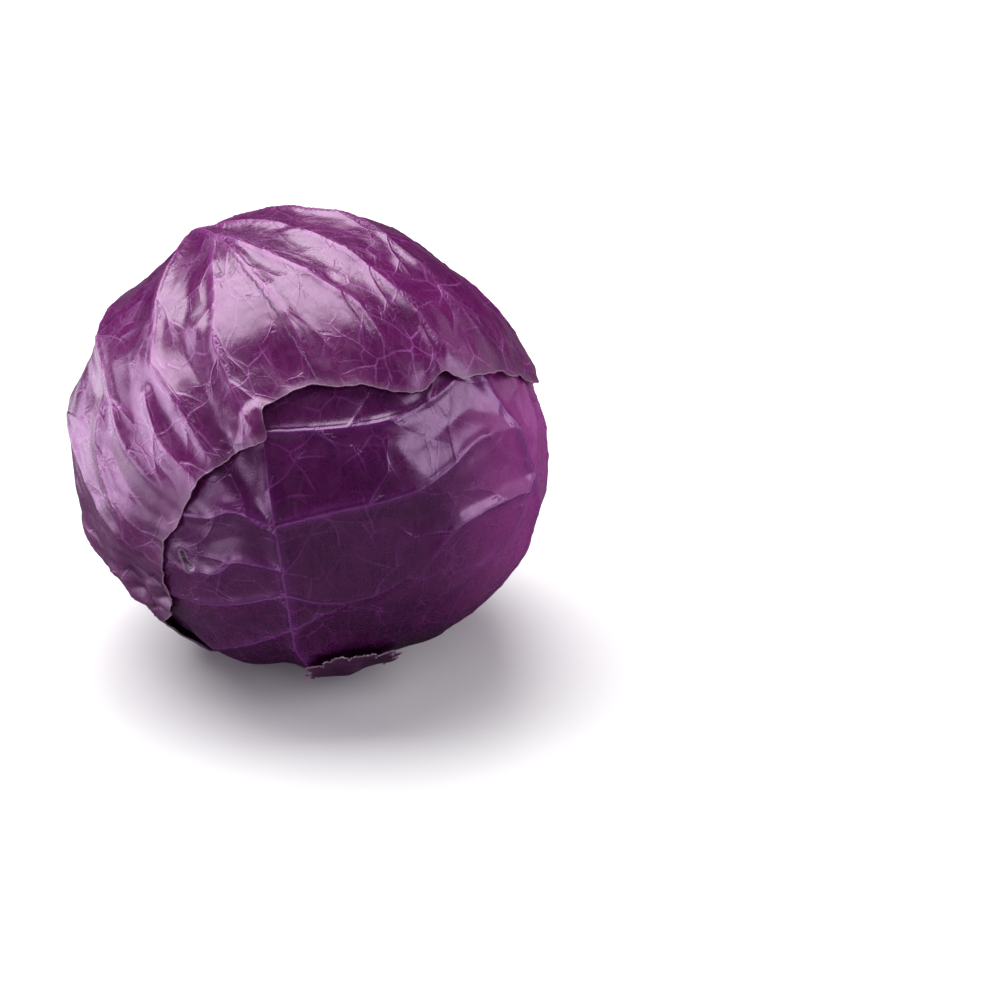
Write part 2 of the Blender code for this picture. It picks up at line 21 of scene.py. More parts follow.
import bpy
import numpy as np
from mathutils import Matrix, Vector

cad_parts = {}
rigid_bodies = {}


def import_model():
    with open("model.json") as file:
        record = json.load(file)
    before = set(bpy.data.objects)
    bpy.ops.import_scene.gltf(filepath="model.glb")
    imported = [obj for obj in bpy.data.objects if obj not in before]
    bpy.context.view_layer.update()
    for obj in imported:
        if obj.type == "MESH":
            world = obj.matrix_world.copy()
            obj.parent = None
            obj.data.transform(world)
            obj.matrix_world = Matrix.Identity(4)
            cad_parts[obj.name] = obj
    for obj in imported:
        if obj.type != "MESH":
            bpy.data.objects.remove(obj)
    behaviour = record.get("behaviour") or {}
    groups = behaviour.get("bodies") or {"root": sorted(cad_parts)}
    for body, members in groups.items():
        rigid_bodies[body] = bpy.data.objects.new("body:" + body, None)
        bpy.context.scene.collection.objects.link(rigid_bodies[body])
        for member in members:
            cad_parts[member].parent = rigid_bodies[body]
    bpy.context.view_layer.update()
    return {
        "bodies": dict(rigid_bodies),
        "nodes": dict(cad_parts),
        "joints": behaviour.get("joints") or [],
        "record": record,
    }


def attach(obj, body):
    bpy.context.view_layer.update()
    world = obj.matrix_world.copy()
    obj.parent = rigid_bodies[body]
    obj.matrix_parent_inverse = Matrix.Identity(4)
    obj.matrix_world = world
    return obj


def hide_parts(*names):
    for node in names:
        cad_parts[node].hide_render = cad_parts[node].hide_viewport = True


LOG = logging.getLogger("cabbage")

Socket = bpy.types.NodeSocket

MILLIMETRE = 0.001
FAR = 9.0


class Finish(Enum):
    """The record's material slots, one for each kind of finish."""

    STEM = "stem"
    HEART = "heart_leaf"
    WRAPPER = "wrapper_leaf"
    FRONT = "front_leaf"
    CAP = "cap_leaf"


@dataclass(frozen=True)
class Rib:
    """A rib's path in degrees from the leaf's centre, towards the crown and sideways."""

    path: tuple
    height: float = 0.0008
    width: float = 0.0020
    main: bool = False


@dataclass(frozen=True)
class LeafPlan:
    """Where a leaf lies on the head, how far its margin reaches, and what runs over it."""

    name: str
    azimuth: float
    elevation: float
    reaches: tuple
    ribs: tuple
    ragged: float
    fold: float
    lift: float
    curls: tuple
    jogs: tuple = ()


def midrib(*path: tuple, height: float = 0.0022, width: float = 0.0042) -> Rib:
    """A leaf's thick middle rib along the given path."""
    return Rib(path, height, width, main=True)


def fan_of_ribs(start: float, stop: float, pairs: int, spread: float) -> tuple:
    """Pairs of laterals that leave a straight midrib and bend outwards round the head.

    Args:
        start: Where the first pair leaves the midrib, in degrees.
        stop: Where the last pair leaves it.
        pairs: How many pairs there are.
        spread: How far sideways each lateral runs, in degrees.

    Returns:
        The laterals, as ribs.
    """
    ribs = []
    for index in range(pairs):
        root = start + (stop - start) * index / (pairs - 1)
        for side in (-1.0, 1.0):
            path = ((root, 0.0), (root + 13.0, 14.0 * side), (root + 24.0, 33.0 * side),
                    (root + 31.0, spread * side))
            ribs.append(Rib(path))
    return tuple(ribs)


LEFT_LEAF = LeafPlan(
    name="leaf_left", azimuth=-82.0, elevation=0.0,
    reaches=(70, 71, 73, 72, 70, 69, 68, 69, 71, 73, 77, 77,
             75, 76, 78, 75, 72, 70, 68, 68, 70, 72, 73, 71),
    ribs=(midrib((-76, 0), (-40, 2), (0, 0), (34, -2), (58, 0)),) + fan_of_ribs(-50.0, 10.0, 3, 56.0),
    ragged=0.8, fold=0.0003, lift=0.0, curls=(),
)

BACK_LEAF = LeafPlan(
    name="leaf_back", azimuth=176.0, elevation=0.0,
    reaches=(71, 72, 71, 70, 72, 73, 71, 70, 72, 74, 77, 77,
             75, 77, 78, 74, 71, 70, 72, 71, 69, 70, 72, 72),
    ribs=(midrib((-76, 0), (-42, -2), (-4, 1), (30, 2), (58, 0)),) + fan_of_ribs(-52.0, 8.0, 3, 56.0),
    ragged=0.8, fold=0.0003, lift=0.0, curls=(),
)

RIGHT_LEAF = LeafPlan(
    name="leaf_right", azimuth=118.0, elevation=4.0,
    reaches=(72, 74, 75, 74, 73, 72, 73, 74, 75, 78, 79, 79,
             78, 79, 78, 76, 73, 72, 73, 74, 74, 73, 72, 71),
    ribs=(midrib((-82, 0), (-50, 3), (-10, 2), (25, -2), (56, -3)),) + fan_of_ribs(-62.0, 16.0, 5, 58.0),
    ragged=0.9, fold=0.0004, lift=0.0004, curls=(),
)

FRONT_LEAF = LeafPlan(
    name="leaf_front", azimuth=12.0, elevation=2.0,
    reaches=(62, 64, 68, 74, 80, 87, 92, 93, 93, 92, 88, 83,
             78, 83, 86, 88, 85, 84, 84, 80, 74, 68, 65, 63),
    ribs=(
        midrib((-78, 0), (-60, -8), (-39, -16), (-26, -18), (-6, -20), (14, -22), (44, -24)),
        Rib(((33, 36), (24, 41), (15, 46), (0, 52), (-20, 55), (-44, 48), (-66, 28)),
            0.0015, 0.0027, main=True),
        Rib(((40, 62), (24, 63), (13, 60), (0, 53))),
        Rib(((36, 74), (20, 74), (4, 68), (-16, 66), (-40, 62))),
        Rib(((0, 52), (-6, 46), (-14, 40), (-18, 30), (-22, 19)), 0.0012, 0.0024),
        Rib(((-3, 48), (-1, 40), (-2, 24), (-9, 15), (-19, 8)), 0.0018, 0.0026),
        Rib(((4, -21), (7, -8), (9, 10), (12, 20), (17, 32), (16, 44)), 0.0010, 0.0022),
        Rib(((26, -23), (26, 5), (29, 20), (34, 32))),
        Rib(((-14, -19), (-17, -10), (-15, 4), (-8, 15))),
        Rib(((-26, -18), (-22, -12), (-17, -4))),
        Rib(((4, -21), (7, -31), (4, -40), (6, -60))),
        Rib(((-7, -20), (-6, -31), (-11, -37), (-14, -56))),
        Rib(((-14, -19), (-19, -32), (-24, -46), (-26, -62))),
        Rib(((-26, -18), (-38, -32), (-50, -42), (-60, -50))),
    ),
    ragged=0.8, fold=0.0011, lift=0.0004, curls=((100.0, 12.0, 0.0012), (70.0, 8.0, 0.0008)),
)

CAP_LEAF = LeafPlan(
    name="leaf_cap", azimuth=-151.0, elevation=24.0,
    reaches=(123, 117, 113, 114, 113, 113, 114, 115, 112, 112, 111, 107,
             100, 104, 98, 92, 86, 81, 80, 92, 111, 117, 119, 121),
    ribs=(
        midrib((-99, 0), (-70, -2), (-30, 1), (0, 6), (28, 13), (52, 21), (70, 27), (88, 33), (101, 39),
               height=0.0030, width=0.0052),
        Rib(((52, 21), (69, 20), (83, 16), (92, 12), (99, 7), (116, 5)), 0.0012, 0.0023),
        Rib(((40, 17), (58, 9), (75, 1), (94, -10), (106, -20), (112, -26)), 0.0012, 0.0023),
        Rib(((24, 12), (47, 1), (60, -8), (68, -18), (84, -26), (93, -38), (98, -52)), 0.0012, 0.0023),
        Rib(((54, 22), (60, 30), (68, 41), (73, 56), (82, 71), (86, 84))),
        Rib(((34, 15), (44, 29), (50, 51), (51, 66), (59, 77), (64, 90)), 0.0013, 0.0024),
        Rib(((4, 7), (14, 28), (25, 54), (32, 71), (31, 86), (35, 99)), 0.0012, 0.0023),
        Rib(((32, 72), (15, 84), (6, 100)), 0.0007, 0.0018),
        Rib(((47, 74), (47, 87), (54, 98)), 0.0007, 0.0018),
        Rib(((-28, 1), (-12, 22), (-2, 46), (2, 72), (-4, 98)), 0.0013, 0.0024),
        Rib(((-58, -1), (-42, 20), (-32, 45), (-34, 74), (-44, 96)), 0.0015, 0.0028),
        Rib(((-80, -1), (-68, 18), (-66, 42), (-72, 66)), 0.0015, 0.0028),
        Rib(((2, 6), (20, -10), (36, -28), (48, -50), (50, -74), (40, -92)), 0.0013, 0.0024),
        Rib(((-30, 1), (-10, -18), (4, -40), (10, -62))),
        Rib(((-58, -1), (-42, -20), (-30, -42), (-26, -60)), 0.0015, 0.0028),
        Rib(((-80, -1), (-68, -16), (-60, -36), (-58, -54)), 0.0015, 0.0028),
    ),
    ragged=0.9, fold=0.0014, lift=0.0010,
    curls=((130.0, 13.0, 0.0050), (114.0, 5.0, 0.0018), (43.0, 4.0, 0.0024), (86.0, 12.0, 0.0014),
           (62.0, 9.0, 0.0012), (-27.0, 10.0, 0.0008), (-62.0, 8.0, 0.0010)),
    jogs=((39.0, 1.6, 3.1), (-13.0, 1.5, -1.0), (101.0, 2.0, 1.4)),
)

SNAPPED_LEAF = LeafPlan(
    name="leaf_stub", azimuth=11.0, elevation=-50.0,
    reaches=(12, 13, 12, 13, 13, 12, 12, 11, 12, 12, 13, 13,
             13, 13, 12, 12, 11, 10, 10, 11, 12, 12, 12, 13),
    ribs=(midrib((-10, 0), (0, 1), (9, 0), height=0.0010, width=0.0036),),
    ragged=1.2, fold=0.0003, lift=0.0006, curls=((0.0, 50.0, 0.0010),),
)


def smoothstep(low: float, high: float, value: np.ndarray) -> np.ndarray:
    """A smooth ramp from 0 at low to 1 at high."""
    share = np.clip((value - low) / (high - low), 0.0, 1.0)
    return share * share * (3.0 - 2.0 * share)


def bell(offset: np.ndarray, width: float) -> np.ndarray:
    """1 where the offset is 0, fading smoothly over a width on either side."""
    return np.exp(-(offset / width) ** 2)


def spline(knots: tuple, share: np.ndarray) -> np.ndarray:
    """A smooth curve through four knots, a share of the way from the second to the third.

    Args:
        knots: The four knots' values.
        share: How far along, 0 to 1.

    Returns:
        The curve's value there.
    """
    before, here, after, last = knots
    bend = 2.0 * before - 5.0 * here + 4.0 * after - last
    turn = 3.0 * (here - after) + last - before
    return here + 0.5 * share * (after - before + share * (bend + share * turn))


def direction(azimuth: float, elevation: float) -> np.ndarray:
    """The unit ray at an azimuth and an elevation in degrees."""
    turn, rise = radians(azimuth), radians(elevation)
    return np.array((sin(turn) * cos(rise), -cos(turn) * cos(rise), sin(rise)))


def angle_to(rays: np.ndarray, target: np.ndarray) -> np.ndarray:
    """The angle in degrees between each unit ray and a target ray."""
    return np.degrees(np.arccos(np.clip(rays @ target, -1.0, 1.0)))


def turn_past(bearing: np.ndarray, start: float) -> np.ndarray:
    """How far each bearing lies past a start, from -180 to 180 degrees."""
    return np.mod(bearing - start + 180.0, 360.0) - 180.0


def smooth_path(points: tuple, steps: int = 6) -> np.ndarray:
    """Points on a smooth curve through a rib's own points.

    Args:
        points: The rib's points, in degrees over its leaf.
        steps: How many stretches each pair of points is split into.

    Returns:
        The curve's points, the last one included.
    """
    knots = np.array(points, dtype=float)
    knots = np.vstack((2 * knots[0] - knots[1], knots, 2 * knots[-1] - knots[-2]))
    curve = []
    for index in range(1, len(knots) - 2):
        curve += [spline(knots[index - 1:index + 3], share) for share in np.arange(steps) / steps]
    curve.append(knots[-2])
    return np.array(curve)


def heading_step(heading: float, length: float) -> np.ndarray:
    """A step of a length in degrees towards a heading in radians over a leaf."""
    return length * np.array((cos(heading), sin(heading)))


def draw(rng: np.random.RandomState, least: float, more: float) -> float:
    """A random value from least up to more above it."""
    return least + more * rng.rand()


@dataclass(frozen=True)
class HeadForm:
    """The ball that the leaves wrap, with its swells and its flattened base."""

    radius: float = 0.0802
    centre_height: float = 0.0775
    base_clearance: float = 0.0048
    base_softness: float = 0.0036
    level_ray: float = 0.05
    leaf_thickness: float = 0.0011
    leaf_gap: float = 0.0009
    swells: tuple = (
        (115.0, 42.0, 17.0, -0.0052),
        (-90.0, 8.0, 34.0, 0.0018),
        (72.0, -16.0, 20.0, 0.0022),
        (-22.0, 52.0, 15.0, 0.0012),
        (14.0, 14.0, 16.0, 0.0010),
        (170.0, 10.0, 24.0, -0.0014),
        (-130.0, -20.0, 20.0, 0.0012),
        (30.0, -45.0, 14.0, 0.0010),
    )

    @property
    def centre(self) -> np.ndarray:
        """The head's centre."""
        return np.array((0.0, 0.0, self.centre_height))

    def surface(self, rays: np.ndarray) -> np.ndarray:
        """The outermost surface's distance from the head's centre along each ray.

        Args:
            rays: Unit rays from the head's centre.

        Returns:
            The distances, in metres.
        """
        radius = np.full(len(rays), self.radius)
        for azimuth, elevation, width, height in self.swells:
            radius = radius + height * bell(angle_to(rays, direction(azimuth, elevation)), width)
        base = (self.centre_height - self.base_clearance) / np.clip(-rays[:, 2], self.level_ray, None)
        soft = self.base_softness
        return -soft * np.logaddexp(-radius / soft, -base / soft)


@dataclass
class Leaf:
    """A leaf's place on the head and the broad shape of its two faces."""

    plan: LeafPlan
    form: HeadForm
    cover_range: tuple = (3.0, 17.0)
    pressed_range: tuple = (-2.0, 6.0)
    pressed_relief: float = 0.25
    fold_width: float = 0.011
    rib_range: float = 0.016
    rib_narrowing: tuple = (0.45, 0.55)
    taper_power: float = 0.8
    taper_end: float = 0.12
    bump_width: float = 0.010
    bump_range: float = 0.032
    relief_fade: tuple = (-0.002, 0.014)
    reach_step: float = 15.0
    edge_waves: tuple = ((11, 0.60, 0.7), (19, 0.42, 2.1), (31, 0.30, 4.0))
    calm_range: tuple = (130.0, 160.0)
    calm_share: float = 0.7
    jog_reach: float = 12.0
    lift_reach: float = 5.0
    curl_reach: tuple = (2.5, 0.3)
    near_slack: float = 0.01

    def axes(self) -> tuple:
        """The leaf's centre, the way to the crown from there, and the way to its right.

        Returns:
            Three unit vectors, each square to the others.
        """
        centre = direction(self.plan.azimuth, self.plan.elevation)
        crown = np.array((0.0, 0.0, 1.0)) - centre * centre[2]
        crown /= np.linalg.norm(crown)
        return centre, crown, np.cross(crown, centre)

    def polar(self, rays: np.ndarray) -> tuple:
        """Reach and bearing in degrees of each ray from the leaf's centre."""
        centre, crown, side = self.axes()
        return angle_to(rays, centre), np.degrees(np.arctan2(rays @ side, rays @ crown))

    def rays(self, reach: np.ndarray, bearing: np.ndarray) -> np.ndarray:
        """Unit rays at a reach and a bearing, both in degrees, from the leaf's centre.

        Args:
            reach: The reaches.
            bearing: The bearings.

        Returns:
            The rays, one a row.
        """
        centre, crown, side = self.axes()
        out, turn = np.radians(reach)[:, None], np.radians(bearing)[:, None]
        return np.cos(out) * centre + np.sin(out) * (np.cos(turn) * crown + np.sin(turn) * side)

    def path_rays(self, path: np.ndarray) -> np.ndarray:
        """Unit rays along a path given in degrees over the leaf."""
        reach = np.hypot(path[:, 0], path[:, 1])
        return self.rays(reach, np.degrees(np.arctan2(path[:, 1], path[:, 0])))

    def smooth_reach(self, bearing: np.ndarray) -> np.ndarray:
        """The margin's reach at a bearing, on a smooth closed curve through the plan's reaches.

        Args:
            bearing: The bearings in degrees.

        Returns:
            The reaches in degrees.
        """
        reaches = np.array(self.plan.reaches, dtype=float)
        place = np.mod(bearing, 360.0) / self.reach_step
        knot = np.floor(place).astype(int)
        knots = tuple(reaches[(knot + shift) % len(reaches)] for shift in (-1, 0, 1, 2))
        return spline(knots, place - knot)

    def ragged_reach(self, bearing: np.ndarray) -> np.ndarray:
        """The waved margin of the leaf, with its jogs.

        Args:
            bearing: The bearings in degrees.

        Returns:
            The margin's reaches in degrees.
        """
        turn = np.radians(bearing)
        waves = sum(size * np.sin(count * turn + start) for count, size, start in self.edge_waves)
        stem_side = smoothstep(*self.calm_range, np.abs(turn_past(bearing, 0.0)))
        reach = self.smooth_reach(bearing) + self.plan.ragged * waves * (1.0 - self.calm_share * stem_side)
        for at, width, depth in self.plan.jogs:
            offset = turn_past(bearing, at)
            reach = reach + depth * np.tanh(offset / width) * bell(offset, self.jog_reach)
        return reach

    def cover(self, rays: np.ndarray) -> np.ndarray:
        """1 where the leaf lies, fading to 0 past its margin."""
        reach, bearing = self.polar(rays)
        return 1.0 - smoothstep(*self.cover_range, reach - self.smooth_reach(bearing))

    def line_distance(self, line: np.ndarray, rays: np.ndarray, limit: float) -> tuple:
        """How far each ray is from a line over the head, where it is nearer than a limit.

        Args:
            line: Unit rays along the line.
            rays: The rays to measure.
            limit: The distance in metres past which a ray isn't measured.

        Returns:
            The distance in metres, the share of the line's length, and the side, -1 or 1.
        """
        nearest = np.full(len(rays), FAR)
        along = np.zeros(len(rays))
        side = np.ones(len(rays))
        for index in range(len(line) - 1):
            start, run = line[index], line[index + 1] - line[index]
            middle = start + 0.5 * run
            span = limit / self.form.radius + 0.5 * np.linalg.norm(run)
            near = np.flatnonzero(rays @ middle > 1.0 - 0.5 * span ** 2 - self.near_slack)
            local = rays[near]
            share = np.clip((local - start) @ run / (run @ run), 0.0, 1.0)
            distance = np.linalg.norm(local - start - share[:, None] * run, axis=1)
            closer = distance < nearest[near]
            chosen = near[closer]
            nearest[chosen] = distance[closer]
            along[chosen] = (index + share[closer]) / (len(line) - 1)
            side[chosen] = np.where(local[closer] @ np.cross(start, run) < 0.0, -1.0, 1.0)
        return nearest * self.form.radius, along, side

    def rib_distance(self, rib: Rib, rays: np.ndarray, limit: float) -> tuple:
        """How far each ray is from a rib, as line_distance() gives it."""
        return self.line_distance(self.path_rays(smooth_path(rib.path)), rays, limit)

    def taper(self, along: np.ndarray) -> np.ndarray:
        """How much of a rib's size is left along it."""
        return (1.0 - along) ** self.taper_power + self.taper_end

    def relief(self, rays: np.ndarray) -> np.ndarray:
        """How far the ribs, and the folds that they carry, stand out of the leaf.

        Args:
            rays: Unit rays from the head's centre.

        Returns:
            The heights, in metres.
        """
        ridge = np.zeros(len(rays))
        tent = np.zeros(len(rays))
        least, more = self.rib_narrowing
        for rib in self.plan.ribs:
            distance, along, _ = self.rib_distance(rib, rays, self.rib_range)
            taper = self.taper(along)
            width = rib.width * (least + more * taper)
            ridge = np.maximum(ridge, rib.height * taper * bell(distance, width))
            tent = np.maximum(tent, self.plan.fold * np.clip(1.0 - distance / self.fold_width, 0.0, 1.0))
        return ridge + tent

    def bump(self, rays: np.ndarray) -> np.ndarray:
        """The broad swelling that the leaf's thick ribs raise in the leaves over it.

        Args:
            rays: Unit rays from the head's centre.

        Returns:
            The heights, in metres.
        """
        bump = np.zeros(len(rays))
        for rib in self.plan.ribs:
            if rib.main:
                distance, along, _ = self.rib_distance(rib, rays, self.bump_range)
                bump = np.maximum(bump, rib.height * self.taper(along) * bell(distance, self.bump_width))
        return bump

    def lift(self, rays: np.ndarray) -> np.ndarray:
        """How far the leaf's edge stands off the head, with its curls and its loose flap.

        Args:
            rays: Unit rays from the head's centre.

        Returns:
            The heights, in metres.
        """
        reach, bearing = self.polar(rays)
        inside = np.clip(self.smooth_reach(bearing) - reach, 0.0, None)
        lift = self.plan.lift * np.exp(-inside / self.lift_reach)
        least, more = self.curl_reach
        for at, width, height in self.plan.curls:
            curl = height * bell(turn_past(bearing, at), width)
            lift = lift + curl * np.exp(-inside / (least + more * width))
        return lift

    def outer_face(self, rays: np.ndarray, below: list, over: list) -> np.ndarray:
        """Distance of the leaf's outer face from the head's centre along each ray.

        Args:
            rays: Unit rays from the head's centre.
            below: The leaves under this one.
            over: The leaves over this one.

        Returns:
            The distances, in metres.
        """
        outer = self.form.surface(rays)
        relief = self.relief(rays)
        lift = self.lift(rays)
        for leaf in over:
            covered = leaf.cover(rays)
            outer = outer - covered * (self.form.leaf_thickness + self.form.leaf_gap)
            lift = lift * (1.0 - covered)
            reach, bearing = leaf.polar(rays)
            under = smoothstep(*self.pressed_range, leaf.smooth_reach(bearing) - reach)
            relief = relief * (1.0 - (1.0 - self.pressed_relief) * under)
        for leaf in below:
            outer = outer + leaf.bump(rays) * leaf.cover(rays)
        height = self.form.centre_height + outer * rays[:, 2]
        return outer + (lift + relief) * smoothstep(*self.relief_fade, height)


@dataclass(frozen=True)
class VeinRule:
    """How thin side veins branch off the ribs of a leaf.

    Lengths along the leaf and angles are in degrees. A pair is a least value and
    how much more a random draw may add to it.
    """

    spacing: float = 13.0
    length: float = 16.0
    angle: float = 54.0
    height: float = 0.00026
    width: float = 0.0009
    size: float = 0.45
    seed: int = 5
    first_gap: tuple = (0.4, 0.5)
    next_gap: tuple = (0.5, 0.35)
    bare_end: float = 3.0
    angle_spread: float = 24.0
    stretches: int = 3
    stretch: tuple = (0.24, 0.16)
    bend: tuple = (4.0, 14.0)
    fork_angle: float = 58.0
    fork_bend: float = 0.2
    fork_stretches: tuple = (0.25, 0.22)
    thinning: tuple = (0.35, 0.65)
    sinking: float = 0.6


@dataclass(frozen=True)
class WaveRule:
    """Random warped waves over the head, added up to an uneven pattern."""

    seed_step: int
    count: int
    lengths: tuple
    bend: float
    sway: float

    def waves(self, rays: np.ndarray, seed: int) -> list:
        """Draws the waves one after the other.

        Args:
            rays: Unit rays to the points that the waves run over.
            seed: The leaf's own seed.

        Returns:
            Each wave's course at every point, its length in metres and its phase.
        """
        rng = np.random.RandomState(seed + self.seed_step)
        drawn = []
        for _ in range(self.count):
            heading = rng.normal(size=3)
            heading /= np.linalg.norm(heading)
            length = draw(rng, *self.lengths)
            bend = rng.normal(size=3) * self.bend
            phase = 2.0 * pi * rng.rand()
            drawn.append((rays @ heading + self.sway * np.sin(rays @ bend + phase), length, phase))
        return drawn


@dataclass
class LeafSheet:
    """The fine sheet of one leaf: its mesh, its veins and what its skin needs to know."""

    leaf: Leaf
    below: list
    over: list
    cells: int
    fan: tuple = (-84.0, 0.0)
    fan_step: float = 4.0
    fan_spread: float = 0.6
    veins: VeinRule = field(default_factory=VeinRule)
    unveined: tuple = (("vein_side", 8.0), ("vein_gap", 12.0), ("vein_size", 0.0),
                       ("rib_gap", 30.0), ("rib_size", 0.0), ("relief", 0.0))
    rib_range: float = 0.030
    side_vein_range: float = 0.008
    nearest_range: float = 0.012
    lateral_share: float = 0.62
    size_worth: float = 0.0005
    pucker: float = 0.0025
    pucker_waves: WaveRule = WaveRule(40, 26, (0.008, 0.026), 3.0, 0.08)
    crease_waves: WaveRule = WaveRule(120, 9, (0.008, 0.018), 9.0, 0.06)
    edge_share: float = 0.45
    edge_width: float = 5.0
    crumples: tuple = ()
    crumple_wander: tuple = (0.10, 0.8, 0.5)
    crumple_ripple: float = 0.2
    crumple_crease: float = 0.55
    nibble: float = 0.10
    nibbles: tuple = ((67, 3.0, 5, 1.0), (113, 4.0, 7, 0.7))
    margin_power: int = 12
    facet_count: int = 230
    facet_jitter: float = 0.45
    facet_tilt: float = 1.9
    facet_softness: float = 0.055
    facet_range: float = 0.18
    sharp_fold: float = 0.0004
    fold_start: float = 0.12
    fold_loss: float = 0.5
    lip: float = 0.0004
    lip_width: float = 1.0
    pillows: tuple = ()
    tight: tuple = ()
    hug: float = 0.0
    pressed: tuple = ()
    overhang: tuple = ()
    tears: tuple = ()
    tear_rim: float = 0.0005
    tear_rim_gap: float = 1.9
    tear_range: float = 0.008
    full_dry_depth: float = 0.0010
    covered_calm: float = 0.85
    covered_range: tuple = (-1.0, 4.0)
    foot_fade: tuple = (0.002, 0.014)
    edge_gap_limit: float = 30.0
    torn_gap_limit: float = 9.0
    smooth_angle: float = 52.0

    def side_veins(self) -> list:
        """The thin veins that branch off the ribs by one rule, as paths in degrees over the leaf.

        Returns:
            The paths, each a list of points.
        """
        rule = self.veins
        rng = np.random.RandomState(rule.seed)
        paths = []
        for rib in self.leaf.plan.ribs:
            line = smooth_path(rib.path)
            steps = np.hypot(*np.diff(line, axis=0).T)
            run = np.concatenate(([0.0], np.cumsum(steps)))
            side = 1.0
            at = rule.spacing * draw(rng, *rule.first_gap)
            while at < run[-1] - rule.bare_end:
                root, ahead = (np.array([np.interp(place, run, line[:, axis]) for axis in range(2)])
                               for place in (at, at + 1.0))
                heading = float(np.arctan2(*(ahead - root)[::-1]))
                heading += side * radians(rule.angle + rule.angle_spread * (rng.rand() - 0.5))
                path = [root]
                for _ in range(rule.stretches):
                    heading -= side * radians(draw(rng, *rule.bend))
                    path.append(path[-1] + heading_step(heading, rule.length * draw(rng, *rule.stretch)))
                paths.append(path)
                fork = heading + side * radians(rule.fork_angle)
                near, far = (part * rule.length for part in rule.fork_stretches)
                middle = path[2] + heading_step(fork, near)
                paths.append([path[2], middle, middle + heading_step(fork + rule.fork_bend, far)])
                side = -side
                at += rule.spacing * draw(rng, *rule.next_gap)
        return paths

    def vein_field(self, rays: np.ndarray) -> dict:
        """Where every point lies to its nearest vein and to its nearest rib.

        Args:
            rays: Unit rays to the sheet's points.

        Returns:
            The values that the skin reads, by name, and the side veins' relief in metres.
        """
        rule = self.veins
        values = {name: np.full(len(rays), value) for name, value in self.unveined}
        worth = np.full(len(rays), FAR)
        lines = [(smooth_path(rib.path), rib) for rib in self.leaf.plan.ribs]
        lines += [(smooth_path(path, 3), None) for path in self.side_veins()]
        for line, rib in lines:
            limit = self.rib_range if rib else self.side_vein_range
            distance, along, hand = self.leaf.line_distance(self.leaf.path_rays(line), rays, limit)
            if rib:
                size = self.leaf.taper(along) * (1.0 if rib.main else self.lateral_share)
                closer = distance / MILLIMETRE < values["rib_gap"]
                values["rib_gap"][closer] = distance[closer] / MILLIMETRE
                values["rib_size"][closer] = size[closer]
            else:
                least, more = rule.thinning
                size = rule.size * (least + more * (1.0 - along))
                swell = rule.height * (1.0 - rule.sinking * along) * bell(distance, rule.width)
                values["relief"] = np.maximum(values["relief"], swell)
            cost = distance - self.size_worth * size
            closer = (cost < worth) & (distance < self.nearest_range)
            worth[closer] = cost[closer]
            values["vein_gap"][closer] = distance[closer] / MILLIMETRE
            values["vein_side"][closer] = (distance * hand)[closer] / MILLIMETRE
            values["vein_size"][closer] = size[closer]
        return values

    def puckers(self, rays: np.ndarray) -> np.ndarray:
        """Low uneven swells of the sheet between its veins, in metres.

        Args:
            rays: Unit rays to the sheet's points.

        Returns:
            The swells' heights.
        """
        swell = np.zeros(len(rays))
        for course, length, phase in self.pucker_waves.waves(rays, self.veins.seed):
            swell += np.sin(2.0 * pi * course * self.leaf.form.radius / length + phase) * length
        return swell * self.pucker

    def creased(self, rays: np.ndarray) -> np.ndarray:
        """An uneven pattern of sharp ridges and hollows, as crumpled paper has, about -1 to 1.

        Args:
            rays: Unit rays to the sheet's points.

        Returns:
            The pattern's value at every point.
        """
        pattern = np.zeros(len(rays))
        for index, wave in enumerate(self.crease_waves.waves(rays, self.veins.seed)):
            course, length, phase = wave
            ridge = 2.0 / pi - np.abs(np.sin(pi * course * self.leaf.form.radius / length + phase))
            pattern += ridge if index % 3 else -ridge
        return pattern

    def facets(self, rays: np.ndarray) -> np.ndarray:
        """Flat patches between soft creases, each tilted its own way, in metres.

        Args:
            rays: Unit rays to the sheet's points.

        Returns:
            The patches' heights.
        """
        rng = np.random.RandomState(self.veins.seed + 80)
        order = np.arange(self.facet_count)
        rise = 1.0 - 2.0 * (order + 0.5) / self.facet_count
        turn = order * pi * (3.0 - 5.0 ** 0.5)
        ring = np.sqrt(1.0 - rise ** 2)
        seeds = np.column_stack((ring * np.cos(turn), ring * np.sin(turn), rise))
        seeds += rng.normal(size=seeds.shape) * self.facet_jitter / self.facet_count ** 0.5
        seeds /= np.linalg.norm(seeds, axis=1)[:, None]
        tilts = rng.normal(size=seeds.shape) * radians(self.facet_tilt)
        total = np.zeros(len(rays))
        swell = np.zeros(len(rays))
        for seed, tilt in zip(seeds, tilts):
            away = 2.0 - 2.0 * (rays @ seed)
            near = np.flatnonzero(away < self.facet_range)
            weight = np.exp(-away[near] / (2.0 * self.facet_softness ** 2))
            total[near] += weight
            swell[near] += weight * ((rays[near] - seed) @ tilt)
        return swell / np.maximum(total, 1e-12) * self.leaf.form.radius

